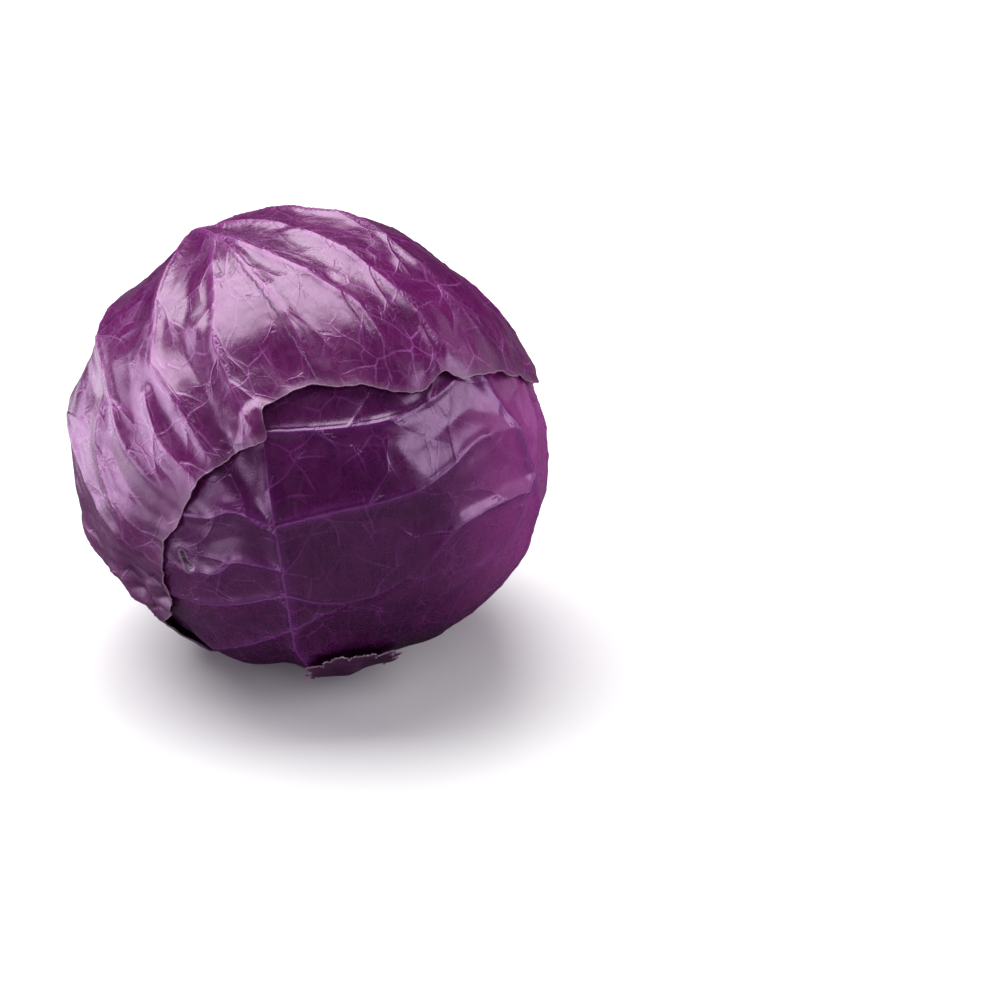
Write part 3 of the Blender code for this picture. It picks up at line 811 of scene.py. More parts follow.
    def small_folds(self, rays: np.ndarray) -> np.ndarray:
        """The leaf's folds, drawn sharper along its ribs and evened out where it is tight.

        Args:
            rays: Unit rays to the sheet's points.

        Returns:
            The change in height, in metres.
        """
        sharp = np.zeros(len(rays))
        plain = np.zeros(len(rays))
        for rib in self.leaf.plan.ribs:
            distance, along, _ = self.leaf.rib_distance(rib, rays, self.leaf.fold_width)
            tent = np.clip(1.0 - distance / self.leaf.fold_width, 0.0, 1.0)
            fade = smoothstep(0.0, self.fold_start, along) * (1.0 - self.fold_loss * along)
            sharp = np.maximum(sharp, fade * tent)
            plain = np.maximum(plain, tent)
        tight = np.clip(self.spots(self.tight, rays), 0.0, 1.0)
        return self.sharp_fold * sharp * (1.0 - tight) - self.leaf.plan.fold * plain * tight

    def crumple(self, rays: np.ndarray, inside: np.ndarray, creased: np.ndarray) -> tuple:
        """Wrinkles and creases behind the margin where the edge has dried and crumpled.

        Args:
            rays: Unit rays to the sheet's points.
            inside: Each point's gap to the margin in degrees.
            creased: The pattern of creases.

        Returns:
            The wrinkles' height in metres, and 0 on fresh skin up to 1 on dried skin.
        """
        _, bearing = self.leaf.polar(rays)
        height = np.zeros(len(rays))
        dried = np.zeros(len(rays))
        slant, sway, pace = self.crumple_wander
        for at, width, waves, depth, reach in self.crumples:
            offset = turn_past(bearing, at)
            fade = bell(offset, width) * np.exp(-inside / reach)
            wander = slant * inside + sway * np.sin(pace * inside)
            ripple = self.crumple_ripple * np.sin((offset + wander) * waves) + self.crumple_crease * creased
            height += depth * ripple * fade
            dried = np.maximum(dried, fade * min(1.0, depth / self.full_dry_depth))
        return height, dried

    @staticmethod
    def spots(places: tuple, rays: np.ndarray) -> np.ndarray:
        """Soft round spots over the head.

        Args:
            places: Each spot's azimuth, elevation and width in degrees, and its value.
            rays: Unit rays to the points.

        Returns:
            The spots' values, added up.
        """
        total = np.zeros(len(rays))
        for azimuth, elevation, width, value in places:
            total += value * np.exp(-(angle_to(rays, direction(azimuth, elevation)) / width) ** 4)
        return total

    def tear_gap(self, rays: np.ndarray) -> np.ndarray:
        """Each point's distance in metres to the nearest small tear of the sheet.

        Args:
            rays: Unit rays to the sheet's points.

        Returns:
            The distances.
        """
        gap = np.full(len(rays), FAR)
        for tear in self.tears:
            line = np.array([direction(*corner) for corner in tear])
            gap = np.minimum(gap, self.leaf.line_distance(line, rays, self.tear_range)[0])
        return gap

    def spread_grid(self) -> tuple:
        """A square grid whose points are rays spread evenly over the leaf.

        Returns:
            The object, its rays, and each point's gap to the margin in degrees.
        """
        bpy.ops.object.select_all(action="DESELECT")
        bpy.ops.mesh.primitive_grid_add(x_subdivisions=self.cells, y_subdivisions=self.cells, size=2.0)
        sheet = bpy.context.object
        sheet.name = sheet.data.name = self.leaf.plan.name + "_sheet"
        flat = np.zeros(len(sheet.data.vertices) * 3)
        sheet.data.vertices.foreach_get("co", flat)
        across, along = flat.reshape(-1, 3)[:, 0], flat.reshape(-1, 3)[:, 1]
        disc = across * np.sqrt(1.0 - along ** 2 / 2.0), along * np.sqrt(1.0 - across ** 2 / 2.0)
        share = np.clip(np.hypot(*disc), 0.0, 1.0)
        bearing = np.degrees(np.arctan2(*disc))
        smooth = self.leaf.smooth_reach(bearing)
        turn = np.radians(bearing)
        nibbles = sum(size * np.sin(count * turn + sway * np.sin(slow * turn))
                      for count, sway, slow, size in self.nibbles)
        ragged = self.leaf.ragged_reach(bearing) + self.nibble * nibbles
        for at, width, more in self.overhang:
            ragged += more * bell(turn_past(bearing, at), width)
        margin = smooth + (ragged - smooth) * share ** self.margin_power
        reach = 2.0 * np.degrees(np.arcsin(share * np.sin(np.radians(margin) / 2.0)))
        return sheet, self.leaf.rays(reach, bearing), np.clip(ragged - reach, 0.0, None)

    def note(self, sheet: bpy.types.Object, name: str, values: np.ndarray) -> None:
        """Stores a value, or a vector, on every point of a sheet for its skin.

        Args:
            sheet: The leaf's outer face.
            name: The name that the skin reads.
            values: One value or vector a point.
        """
        kind, key = ("FLOAT", "value") if values.ndim == 1 else ("FLOAT_VECTOR", "vector")
        attribute = sheet.data.attributes.new(name, kind, "POINT")
        attribute.data.foreach_set(key, values.astype(np.float32).ravel())

    def fan_place(self, rays: np.ndarray) -> np.ndarray:
        """Places in mm round the point that the leaf's fibres fan out from.

        Args:
            rays: Unit rays to the sheet's points.

        Returns:
            A flat place for every point.
        """
        origin = self.leaf.path_rays(np.array([self.fan]))[0]
        reach, bearing = self.leaf.polar(origin[None, :])
        ahead = self.leaf.rays(reach - self.fan_step, bearing)[0] - origin
        ahead -= origin * (ahead @ origin)
        ahead /= np.linalg.norm(ahead)
        across = np.cross(ahead, origin)
        away = np.arccos(np.clip(rays @ origin, -1.0, 1.0))
        turn = np.arctan2(rays @ across, rays @ ahead)
        radius = self.leaf.form.radius / MILLIMETRE
        return np.column_stack((turn * self.fan_spread * radius, away * radius, np.zeros(len(rays))))

    def build(self) -> bpy.types.Object:
        """The leaf as one closed thin sheet.

        Returns:
            The sheet.
        """
        sheet, rays, edge = self.spread_grid()
        form = self.leaf.form
        outer = self.leaf.outer_face(rays, self.below, self.over)
        shown = np.ones(len(rays))
        for leaf in self.over:
            reach, bearing = leaf.polar(rays)
            under = smoothstep(*self.covered_range, leaf.smooth_reach(bearing) - reach)
            shown *= 1.0 - self.covered_calm * under
        values = self.vein_field(rays)
        creased = self.creased(rays)
        crumpled, dried = self.crumple(rays, edge, creased)
        torn = self.tear_gap(rays) / MILLIMETRE
        fine = values.pop("relief") + self.puckers(rays) + crumpled
        fine += self.facets(rays) + self.small_folds(rays) + self.spots(self.pillows, rays)
        fine += self.lip * np.exp(-edge / self.lip_width)
        fine += self.tear_rim * bell(torn - self.tear_rim_gap, 1.0)
        fine -= np.clip(self.hug + self.spots(self.pressed, rays), 0.0, 1.0) * self.leaf.lift(rays)
        outer += fine * shown * smoothstep(*self.foot_fade, form.centre_height + outer * rays[:, 2])
        points = form.centre + rays * outer[:, None]
        sheet.data.vertices.foreach_set("co", points.astype(np.float32).ravel())
        values["edge_gap"] = np.clip(np.radians(edge) * form.radius / MILLIMETRE, 0.0, self.edge_gap_limit)
        values["fan_place"] = self.fan_place(rays)
        values["dried"] = dried
        values["crease"] = creased * dried
        values["torn_gap"] = np.clip(torn, 0.0, self.torn_gap_limit)
        for name, value in values.items():
            self.note(sheet, name, value)
        self.thicken(sheet, edge)
        return sheet

    def thicken(self, sheet: bpy.types.Object, edge: np.ndarray) -> None:
        """Gives the sheet its thickness, thinner towards the margin.

        Args:
            sheet: The leaf's outer face.
            edge: Each point's gap to the margin in degrees.
        """
        thin = sheet.vertex_groups.new(name="thin_edge")
        share = self.edge_share + (1.0 - self.edge_share) * smoothstep(0.0, self.edge_width, edge)
        for step in np.unique(np.round(share, 2)):
            thin.add(np.flatnonzero(np.round(share, 2) == step).tolist(), float(step), "REPLACE")
        wall = sheet.modifiers.new("wall", "SOLIDIFY")
        wall.thickness = self.leaf.form.leaf_thickness
        wall.offset = -1.0
        wall.vertex_group = thin.name
        apply_modifier(sheet, wall)
        sheet.vertex_groups.clear()
        smooth_faces(sheet, self.smooth_angle)


def apply_modifier(piece: bpy.types.Object, modifier: bpy.types.Modifier) -> None:
    """Applies a piece's modifier."""
    bpy.context.view_layer.objects.active = piece
    bpy.ops.object.modifier_apply(modifier=modifier.name)


def smooth_faces(piece: bpy.types.Object, angle: float) -> None:
    """Shades a piece smooth, but for edges sharper than an angle in degrees.

    Args:
        piece: The piece.
        angle: The sharpest angle that is still smooth.
    """
    bpy.ops.object.select_all(action="DESELECT")
    piece.select_set(True)
    bpy.ops.object.shade_smooth_by_angle(angle=radians(angle))


@dataclass
class Stem:
    """The cut stem under the head and the core that it runs up into."""

    profile: tuple = (
        (0.0146, 0.0), (0.0155, 0.0008), (0.0152, 0.0035), (0.0158, 0.0085),
        (0.0142, 0.0170), (0.0112, 0.0340), (0.0082, 0.0520), (0.0050, 0.0660), (0.0022, 0.0720),
    )
    sides: int = 36
    tip_inset: float = 0.35
    pith_share: float = 0.55
    pith_depth: float = 0.0005
    pith_taper: float = 0.82
    facing_down: float = -0.9
    face_height: float = 0.0001
    out_of_round: tuple = ((2, 0.025, 0.6), (5, 0.015, 0.0))
    smooth_levels: int = 2
    smooth_angle: float = 40.0

    def build(self) -> bpy.types.Object:
        """The stem, drawn up from its cut face ring by ring.

        Returns:
            The stem.
        """
        bpy.ops.object.select_all(action="DESELECT")
        first = self.profile[0][0]
        bpy.ops.mesh.primitive_circle_add(vertices=self.sides, radius=first, fill_type="NGON")
        stem = bpy.context.object
        stem.name = stem.data.name = "stem_core"
        bpy.ops.object.mode_set(mode="EDIT")
        bpy.ops.mesh.select_all(action="SELECT")
        for (radius, height), (after, top) in zip(self.profile, self.profile[1:]):
            self.draw_up(top - height, after / radius, top)
        bpy.ops.mesh.inset(thickness=self.tip_inset * self.profile[-1][0])
        bpy.ops.mesh.select_all(action="SELECT")
        bpy.ops.mesh.normals_make_consistent(inside=False)
        bpy.ops.object.mode_set(mode="OBJECT")
        self.cut_face(stem)
        self.round_off(stem)
        return stem

    @staticmethod
    def draw_up(rise: float, scale: float, top: float) -> None:
        """Extrudes the chosen face upwards and resizes it at its new height."""
        bpy.ops.mesh.extrude_region_move(TRANSFORM_OT_translate={"value": (0.0, 0.0, rise)})
        bpy.ops.transform.resize(value=(scale, scale, 1.0), center_override=(0.0, 0.0, top))

    def cut_face(self, stem: bpy.types.Object) -> None:
        """Sinks the dried pith in the cut face a little.

        Args:
            stem: The stem.
        """
        for face in stem.data.polygons:
            face.select = face.normal.z < self.facing_down and face.center.z < self.face_height
        bpy.ops.object.mode_set(mode="EDIT")
        bpy.ops.mesh.select_mode(type="FACE")
        bpy.ops.mesh.inset(thickness=(1.0 - self.pith_share) * self.profile[0][0])
        self.draw_up(self.pith_depth, self.pith_taper, self.pith_depth)
        bpy.ops.object.mode_set(mode="OBJECT")

    def round_off(self, stem: bpy.types.Object) -> None:
        """Smooths the stem's sides and puts it slightly out of round.

        Args:
            stem: The stem.
        """
        smooth = stem.modifiers.new("smooth", "SUBSURF")
        smooth.levels = smooth.render_levels = self.smooth_levels
        apply_modifier(stem, smooth)
        for point in stem.data.vertices:
            turn = np.arctan2(point.co.y, point.co.x)
            swell = 1.0 + sum(size * sin(count * turn + start) for count, size, start in self.out_of_round)
            point.co.x *= swell
            point.co.y *= swell
        smooth_faces(stem, self.smooth_angle)


class NodeBoard:
    """A node tree that is filled by short calls."""

    def __init__(self, tree: bpy.types.NodeTree) -> None:
        """Keeps the tree that the nodes go into."""
        self.tree = tree

    def add(self, kind: str, **settings: object) -> bpy.types.Node:
        """A new node with its settings.

        Args:
            kind: The node's type.
            settings: Its properties.

        Returns:
            The node.
        """
        node = self.tree.nodes.new(kind)
        for name, value in settings.items():
            setattr(node, name, value)
        return node

    def feed(self, socket: Socket, value: object) -> None:
        """Links an output into a socket, or sets a plain value on it.

        Args:
            socket: The input to feed.
            value: An output or a plain value.
        """
        if isinstance(value, Socket):
            self.tree.links.new(value, socket)
        else:
            socket.default_value = value

    def fed(self, kind: str, feeds: dict, **settings: object) -> bpy.types.Node:
        """A new node with its settings, and with the named or numbered inputs fed.

        Args:
            kind: The node's type.
            feeds: Its inputs' values by name or number.
            settings: Its properties.

        Returns:
            The node.
        """
        node = self.add(kind, **settings)
        for key, value in feeds.items():
            self.feed(node.inputs[key], value)
        return node

    def math(self, operation: str, first: object, second: object = 0.0, clamp: bool = False) -> Socket:
        """One step of arithmetic on two values."""
        feeds = {0: first, 1: second}
        return self.fed("ShaderNodeMath", feeds, operation=operation, use_clamp=clamp).outputs[0]

    def times(self, first: object, second: object, clamp: bool = False) -> Socket:
        """The product of two values."""
        return self.math("MULTIPLY", first, second, clamp)

    def plus(self, first: object, *others: object) -> Socket:
        """The sum of two or more values.

        Args:
            first: The first value.
            others: The rest.

        Returns:
            The sum.
        """
        for other in others:
            first = self.math("ADD", first, other)
        return first

    def bell(self, value: object) -> Socket:
        """1 where the value is 0, fading smoothly on either side."""
        return self.math("EXPONENT", self.times(self.times(value, value), -1.0))

    def ramp(self, value: object, low: float, high: float, start: float = 0.0, stop: float = 1.0) -> Socket:
        """A smooth change from start to stop as a value goes from low to high."""
        feeds = dict(enumerate((value, low, high, start, stop)))
        return self.fed("ShaderNodeMapRange", feeds, interpolation_type="SMOOTHSTEP").outputs[0]

    def blend(self, share: object, first: object, second: object) -> Socket:
        """A mix of two colours."""
        first, second = (part if isinstance(part, Socket) else (*part, 1.0) for part in (first, second))
        return self.fed("ShaderNodeMix", {0: share, 6: first, 7: second}, data_type="RGBA").outputs[2]

    def layers(self, colour: Socket, coats: tuple) -> Socket:
        """A colour under further coats, each a share and a colour of its own.

        Args:
            colour: The ground.
            coats: The coats in their order.

        Returns:
            The colour on top.
        """
        for share, tint in coats:
            colour = self.blend(share, colour, tint)
        return colour

    def attribute(self, name: str, output: str = "Fac") -> Socket:
        """A value that the piece's own points carry."""
        return self.add("ShaderNodeAttribute", attribute_name=name).outputs[output]

    def place(self) -> Socket:
        """The point's place on the object."""
        return self.add("ShaderNodeTexCoord").outputs["Object"]

    def along(self, axis: str) -> Socket:
        """The point's place on the object along one axis."""
        return self.fed("ShaderNodeSeparateXYZ", {0: self.place()}).outputs[axis]

    def noise(self, place: object, scale: object, detail: float = 2.0, rough: float = 0.5,
              warp: float = 0.0) -> Socket:
        """Soft noise at a scale per unit of the place given."""
        feeds = {"Vector": place, "Scale": scale, "Detail": detail, "Roughness": rough, "Distortion": warp}
        return self.fed("ShaderNodeTexNoise", feeds).outputs["Fac"]

    def scaled(self, place: object, factors: tuple) -> Socket:
        """A place stretched by three factors."""
        return self.fed("ShaderNodeMapping", {"Vector": place, "Scale": factors}).outputs["Vector"]

    def use(self, group: bpy.types.NodeTree, **values: object) -> bpy.types.Node:
        """A placed node group, with its inputs fed."""
        return self.fed("ShaderNodeGroup", values, node_tree=group)

    def raise_skin(self, shader: bpy.types.Node, height: Socket, millimetres: float) -> None:
        """Gives a shader fine relief from a height."""
        bump = self.fed("ShaderNodeBump", {"Distance": MILLIMETRE * millimetres, "Height": height})
        self.feed(shader.inputs["Normal"], bump.outputs["Normal"])


class SharedGroup:
    """A shader group with named sockets, and the board that fills it."""

    def __init__(self, name: str, inputs: tuple, outputs: tuple) -> None:
        """Makes the empty group.

        Args:
            name: The group's name.
            inputs: Pairs of a socket's name and its first value.
            outputs: The names of the outputs.
        """
        self.tree = bpy.data.node_groups.new(name, "ShaderNodeTree")
        sockets = self.tree.interface
        for label, value in inputs:
            socket = sockets.new_socket(name=label, in_out="INPUT", socket_type="NodeSocketFloat")
            socket.default_value = value
        for label in outputs:
            sockets.new_socket(name=label, in_out="OUTPUT", socket_type="NodeSocketFloat")
        self.board = NodeBoard(self.tree)
        self.given = self.board.add("NodeGroupInput").outputs
        self.result = self.board.add("NodeGroupOutput").inputs

    def close(self, *values: Socket) -> bpy.types.NodeTree:
        """Feeds the outputs in their order and gives the group.

        Args:
            values: One value an output.

        Returns:
            The group.
        """
        for socket, value in zip(self.result, values):
            self.board.feed(socket, value)
        return self.tree


class LeafGroups:
    """The shader groups that every leaf's skin shares."""

    def __init__(self) -> None:
        """Builds each group once."""
        self.veins = self.vein_lines()
        self.net = self.vein_net()
        self.bloom = self.wax_bloom()
        self.edge = self.edge_wear()

    @staticmethod
    def vein_lines() -> bpy.types.NodeTree:
        """Lines along the drawn veins and ribs, soft bands beside them, a groove beside each vein that
        carries painted shade, and their relief in mm.

        Returns:
            The group.
        """
        group = SharedGroup("vein_lines", (("Width", 0.30), ("Height", 0.20)),
                            ("Line", "Band", "Rib", "GrooveAndShade", "Relief"))
        board, given = group.board, group.given
        gap, size = board.attribute("vein_gap"), board.attribute("vein_size")
        rib_size = board.attribute("rib_size")
        waver = board.times(board.math("SUBTRACT", board.noise(board.place(), 330.0, 1.0), 0.5), 0.5)
        shifted = board.plus(board.attribute("vein_side"), waver)
        off = board.math("DIVIDE", shifted, board.times(given["Width"], board.plus(size, 0.35)))
        near = board.ramp(gap, 1.3, 2.2, 1.0, 0.0)
        line = board.times(board.times(board.bell(off), near), board.ramp(size, 0.10, 0.80, 0.16, 1.0))
        band = board.times(board.ramp(gap, 0.0, 4.5, 1.0, 0.0), size, clamp=True)
        rib_width = board.plus(board.times(rib_size, 3.0), 0.6)
        rib_share = board.math("DIVIDE", board.attribute("rib_gap"), rib_width)
        rib = board.times(board.ramp(rib_share, 0.2, 1.2, 1.0, 0.0), rib_size, clamp=True)
        # A narrow groove beside each vein: a small dip in the relief, and the mask of the painted shade
        # that the skin lays along it.
        beside = board.math("DIVIDE", board.math("SUBTRACT", shifted, 0.85), 0.36)
        groove_and_shade = board.times(board.bell(beside), board.ramp(gap, 1.5, 2.4, 1.0, 0.0))
        groove_and_shade = board.times(groove_and_shade, board.ramp(size, 0.20, 0.60))
        relief = board.math("SUBTRACT", board.times(line, given["Height"]), board.times(groove_and_shade, 0.14))
        return group.close(line, band, rib, groove_and_shade, relief)

    @staticmethod
    def vein_net() -> bpy.types.NodeTree:
        """The finest net of veins, drawn as irregular cells, and its relief in mm.

        Returns:
            The group.
        """
        group = SharedGroup("vein_net", (("Cell", 5.0), ("Height", 0.05)),
                            ("Line", "Fine", "Pad", "Relief"))
        board, given = group.board, group.given
        fan = board.scaled(board.attribute("fan_place", "Vector"), (1.0, 0.62, 1.0))
        warp = board.fed("ShaderNodeTexNoise", {"Vector": fan, "Scale": 0.13, "Detail": 0.4},
                         noise_dimensions="2D")
        pull = board.fed("ShaderNodeVectorMath", {0: warp.outputs["Color"], "Scale": 3.2},
                         operation="SCALE")
        place = board.fed("ShaderNodeVectorMath", {0: fan, 1: pull.outputs[0]},
                          operation="ADD").outputs[0]
        scale = board.math("DIVIDE", 1.0, given["Cell"])
        broken = board.ramp(board.noise(board.place(), 75.0, 3.0), 0.38, 0.60)
        away = [board.fed("ShaderNodeTexVoronoi", {"Vector": place, "Scale": board.times(scale, factor)},
                          feature="DISTANCE_TO_EDGE", voronoi_dimensions="2D").outputs["Distance"]
                for factor in (1.0, 2.4)]
        line, fine = (board.times(board.ramp(gap, 0.0, width, 1.0, 0.0), broken)
                      for gap, width in zip(away, (0.036, 0.060)))
        pad = board.ramp(away[0], 0.0, 0.5)
        relief = board.plus(line, board.times(fine, 0.35), board.times(pad, 1.2))
        relief = board.times(relief, given["Height"])
        return group.close(line, fine, pad, relief)

    @staticmethod
    def wax_bloom() -> bpy.types.NodeTree:
        """Uneven colour and wax of the skin, fibre streaks, and the grain's relief in mm.

        Returns:
            The group.
        """
        group = SharedGroup("wax_bloom", (("Patch", 55.0), ("Grain", 0.010)),
                            ("Tone", "Streak", "Wax", "Speckle", "Relief"))
        board, given = group.board, group.given
        place = board.place()
        fan = board.scaled(board.attribute("fan_place", "Vector"), (1.1, 0.09, 1.0))
        tone = board.ramp(board.noise(place, given["Patch"], 1.6, 0.5, 0.4), 0.30, 0.72)
        streak = board.ramp(board.noise(fan, 1.0, 4.0, 0.6, 0.3), 0.30, 0.70)
        wax = board.ramp(board.noise(place, 210.0, 4.0, 0.62, 0.8), 0.32, 0.70)
        speckle = board.ramp(board.noise(place, 1500.0, 3.0, 0.6), 0.35, 0.68)
        wrinkle = board.times(board.noise(board.scaled(place, (1.0, 1.0, 0.6)), 90.0, 1.2, 0.5, 1.2), 0.19)
        dimple = board.times(board.noise(place, 190.0, 1.2, 0.5, 0.4), 0.12)
        relief = board.plus(board.times(speckle, given["Grain"]), wrinkle, dimple)
        return group.close(tone, streak, wax, speckle, relief)

    @staticmethod
    def edge_wear() -> bpy.types.NodeTree:
        """The pale torn lip of a margin, and the dull dried band behind it.

        Returns:
            The group.
        """
        group = SharedGroup("edge_wear", (("Lip", 0.28), ("Dry", 5.0)), ("Lip", "Dry"))
        board = group.board
        gap = board.attribute("edge_gap")
        ragged = board.times(board.noise(board.place(), 420.0, 3.0), 2.0)
        return group.close(*(
            board.ramp(board.math("DIVIDE", gap, board.times(width, ragged)), low, high, 1.0, 0.0)
            for width, low, high in ((group.given["Lip"], 0.5, 1.2), (group.given["Dry"], 0.1, 1.3))))


def fresh_material(name: str) -> tuple:
    """A new material, its board and its shader.

    Args:
        name: The material's name.

    Returns:
        The material, its board and its shader.
    """
    material = bpy.data.materials.new(name)
    material.use_nodes = True
    return material, NodeBoard(material.node_tree), material.node_tree.nodes["Principled BSDF"]


@dataclass(frozen=True)
class LeafSkin:
    """One waxy finish of a leaf: its colours, its veins and its gloss."""

    name: str
    finish: Finish
    deep: tuple
    body: tuple
    bright: tuple
    vein: tuple
    rib: tuple
    lip: tuple = (0.22, 0.13, 0.18)
    dry: tuple = (0.090, 0.038, 0.080)
    dry_band: float = 4.0
    cell: float = 5.2
    net_colour: float = 0.30
    vein_colour: float = 0.70
    roughness: float = 0.25
    coat: float = 0.22
    coat_roughness: float = 0.12
    specular: float = 1.0
    relief: float = 1.0
    sheen: tuple = (0.94, 0.66, 0.96)
    # Painted light: a lighter, pinker tint over the leaf's side at +X, with how much of it and where it
    # starts and ends.
    painted_light_tint: tuple = (0.20, 0.014, 0.150)
    painted_light_share: float = 0.0
    painted_light_side: tuple = (0.035, 0.080)
    # Painted shade: the near-black colour painted along the slit of a tear.
    torn: tuple = (0.012, 0.003, 0.010)

    def make(self, groups: LeafGroups) -> bpy.types.Material:
        """The finish as a material.

        Args:
            groups: The shader groups that the leaves share.

        Returns:
            The material.
        """
        material, board, shader = fresh_material(self.name)
        veins = board.use(groups.veins).outputs
        net = board.use(groups.net, Cell=self.cell).outputs
        bloom = board.use(groups.bloom).outputs
        edge = board.use(groups.edge, Dry=self.dry_band).outputs
        dried, crease, torn_gap = (board.attribute(name) for name in ("dried", "crease", "torn_gap"))
        colour = board.layers(board.blend(bloom["Tone"], self.deep, self.body), (
            (board.times(bloom["Streak"], 0.30), self.bright),
            # Painted light: the leaf is painted lighter and pinker towards its side at +X, where the side
            # lights fall.
            (board.ramp(board.along("X"), *self.painted_light_side, 0.0, self.painted_light_share), self.painted_light_tint),
            (board.times(net["Fine"], 0.4 * self.net_colour), self.vein),
            (board.times(net["Line"], self.net_colour), self.vein),
            (board.times(veins["Band"], 0.22), self.rib),
            (board.times(veins["Rib"], 0.55), self.rib),
            # Painted shade: the groove beside each vein is darkened with the deep colour.
            (board.times(veins["GrooveAndShade"], 0.70), self.deep),
            (board.times(veins["Line"], self.vein_colour), self.vein),
            (board.times(edge["Dry"], 0.45), self.dry),
            (board.times(dried, 0.55, clamp=True), self.dry),
            # Painted shade in the hollows of the dried creases, and a painted highlight on their ridges.
            (board.ramp(crease, -0.8, -0.1, 0.75, 0.0), self.deep),
            (board.ramp(crease, 0.4, 1.3, 0.0, 0.45), self.lip),
            (board.times(edge["Lip"], 0.75), self.lip),
            (board.ramp(torn_gap, 1.1, 2.1, 0.6, 0.0), self.lip),
            # Painted shade: the slit of each tear is painted near-black, though the sheet has no opening
            # there.
            (board.ramp(torn_gap, 0.75, 1.15, 1.0, 0.0), self.torn),
        ))
        board.feed(shader.inputs["Base Color"], colour)
        wax = board.ramp(bloom["Wax"], 0.0, 1.0, self.roughness - 0.03, self.roughness + 0.04)
        rough = board.plus(wax, board.times(bloom["Speckle"], 0.05), board.times(edge["Dry"], 0.10),
                           board.times(dried, 0.12))
        board.feed(shader.inputs["Roughness"], rough)
        coat = board.ramp(bloom["Wax"], 0.0, 1.0, self.coat, 0.75 * self.coat)
        board.feed(shader.inputs["Coat Weight"], coat)
        shader.inputs["Coat Roughness"].default_value = self.coat_roughness
        shader.inputs["Specular IOR Level"].default_value = self.specular
        shader.inputs["Specular Tint"].default_value = (*self.sheen, 1.0)
        board.raise_skin(shader, board.plus(veins["Relief"], net["Relief"], bloom["Relief"]), self.relief)
        return material


CAP_SKIN = LeafSkin(
    "cap_leaf_skin", Finish.CAP, deep=(0.044, 0.0022, 0.036), body=(0.070, 0.0031, 0.053),
    bright=(0.135, 0.0065, 0.098), vein=(0.27, 0.070, 0.27), rib=(0.22, 0.040, 0.19), net_colour=0.50,
    cell=9.0, dry_band=2.4,
)
FRONT_SKIN = LeafSkin(
    "front_leaf_skin", Finish.FRONT, deep=(0.028, 0.0017, 0.027), body=(0.049, 0.0027, 0.042),
    bright=(0.088, 0.0046, 0.068), vein=(0.20, 0.036, 0.21), rib=(0.088, 0.010, 0.105), net_colour=0.26,
    vein_colour=0.60, roughness=0.27, cell=9.5, painted_light_share=0.9, relief=0.7,
)
WRAPPER_SKIN = LeafSkin(
    "wrapper_leaf_skin", Finish.WRAPPER, deep=(0.070, 0.004, 0.056), body=(0.120, 0.007, 0.090),
    bright=(0.180, 0.014, 0.130), vein=(0.28, 0.08, 0.27), rib=(0.20, 0.045, 0.19), net_colour=0.26,
)
STUB_SKIN = LeafSkin(
    "stub_leaf_skin", Finish.WRAPPER, deep=(0.030, 0.004, 0.028), body=(0.060, 0.007, 0.050),
    bright=(0.090, 0.014, 0.070), vein=(0.16, 0.05, 0.15), rib=(0.14, 0.05, 0.13), lip=(0.26, 0.16, 0.22),
    net_colour=0.10, vein_colour=0.30, roughness=0.42, coat=0.35,
)


@dataclass(frozen=True)
class HeartSkin:
    """The paler packed leaves inside, which show only round the stem."""

    pale: tuple = (0.46, 0.28, 0.40)
    purple: tuple = (0.17, 0.035, 0.15)
    relief: float = 0.3

    def make(self) -> bpy.types.Material:
        """The finish as a material.

        Returns:
            The material.
        """
        material, board, shader = fresh_material("heart_leaf_skin")
        place = board.place()
        streaks = board.noise(board.scaled(place, (1.0, 1.0, 3.0)), 260.0, 4.0, 0.6, 0.8)
        layers = board.ramp(streaks, 0.35, 0.62)
        grain = board.noise(place, 1800.0, 3.0)
        board.feed(shader.inputs["Base Color"], board.blend(layers, self.purple, self.pale))
        board.feed(shader.inputs["Roughness"], board.ramp(grain, 0.3, 0.7, 0.42, 0.58))
        board.raise_skin(shader, board.plus(layers, board.times(grain, 0.2)), self.relief)
        return material


@dataclass(frozen=True)
class StemSkin:
    """Cut and dried stem: a cream pith, darker growth rings and a brown bruised rim."""

    cream: tuple = (0.62, 0.56, 0.38)
    fibre: tuple = (0.44, 0.36, 0.22)
    bruise: tuple = (0.22, 0.13, 0.10)
    rings_per_metre: float = 310.0
    radius: float = 0.0155
    relief: float = 0.35

    def make(self) -> bpy.types.Material:
        """The finish as a material.

        Returns:
            The material.
        """
        material, board, shader = fresh_material("stem_skin")
        place = board.place()
        flat = board.scaled(place, (1.0, 1.0, 0.0))
        length = board.fed("ShaderNodeVectorMath", {0: flat}, operation="LENGTH").outputs["Value"]
        out = board.plus(length, board.times(board.noise(place, 130.0, 3.0), 0.0022))
        ring = board.math("SINE", board.times(out, self.rings_per_metre * 2.0 * pi))
        fibres = board.noise(board.scaled(place, (1.0, 1.0, 0.06)), 1500.0, 4.0, 0.6)
        rim = board.ramp(out, self.radius * 0.93, self.radius * 1.08)
        colour = board.layers(board.blend(board.ramp(ring, -1.0, 1.0, 0.0, 0.55), self.cream, self.fibre), (
            (board.ramp(fibres, 0.42, 0.66, 0.0, 0.6), self.fibre),
            (board.times(rim, board.ramp(fibres, 0.3, 0.6, 0.5, 1.0)), self.bruise),
        ))
        board.feed(shader.inputs["Base Color"], colour)
        board.feed(shader.inputs["Roughness"], board.ramp(fibres, 0.3, 0.7, 0.60, 0.82))
        board.raise_skin(shader, board.plus(fibres, board.times(ring, 0.15)), self.relief)
        return material


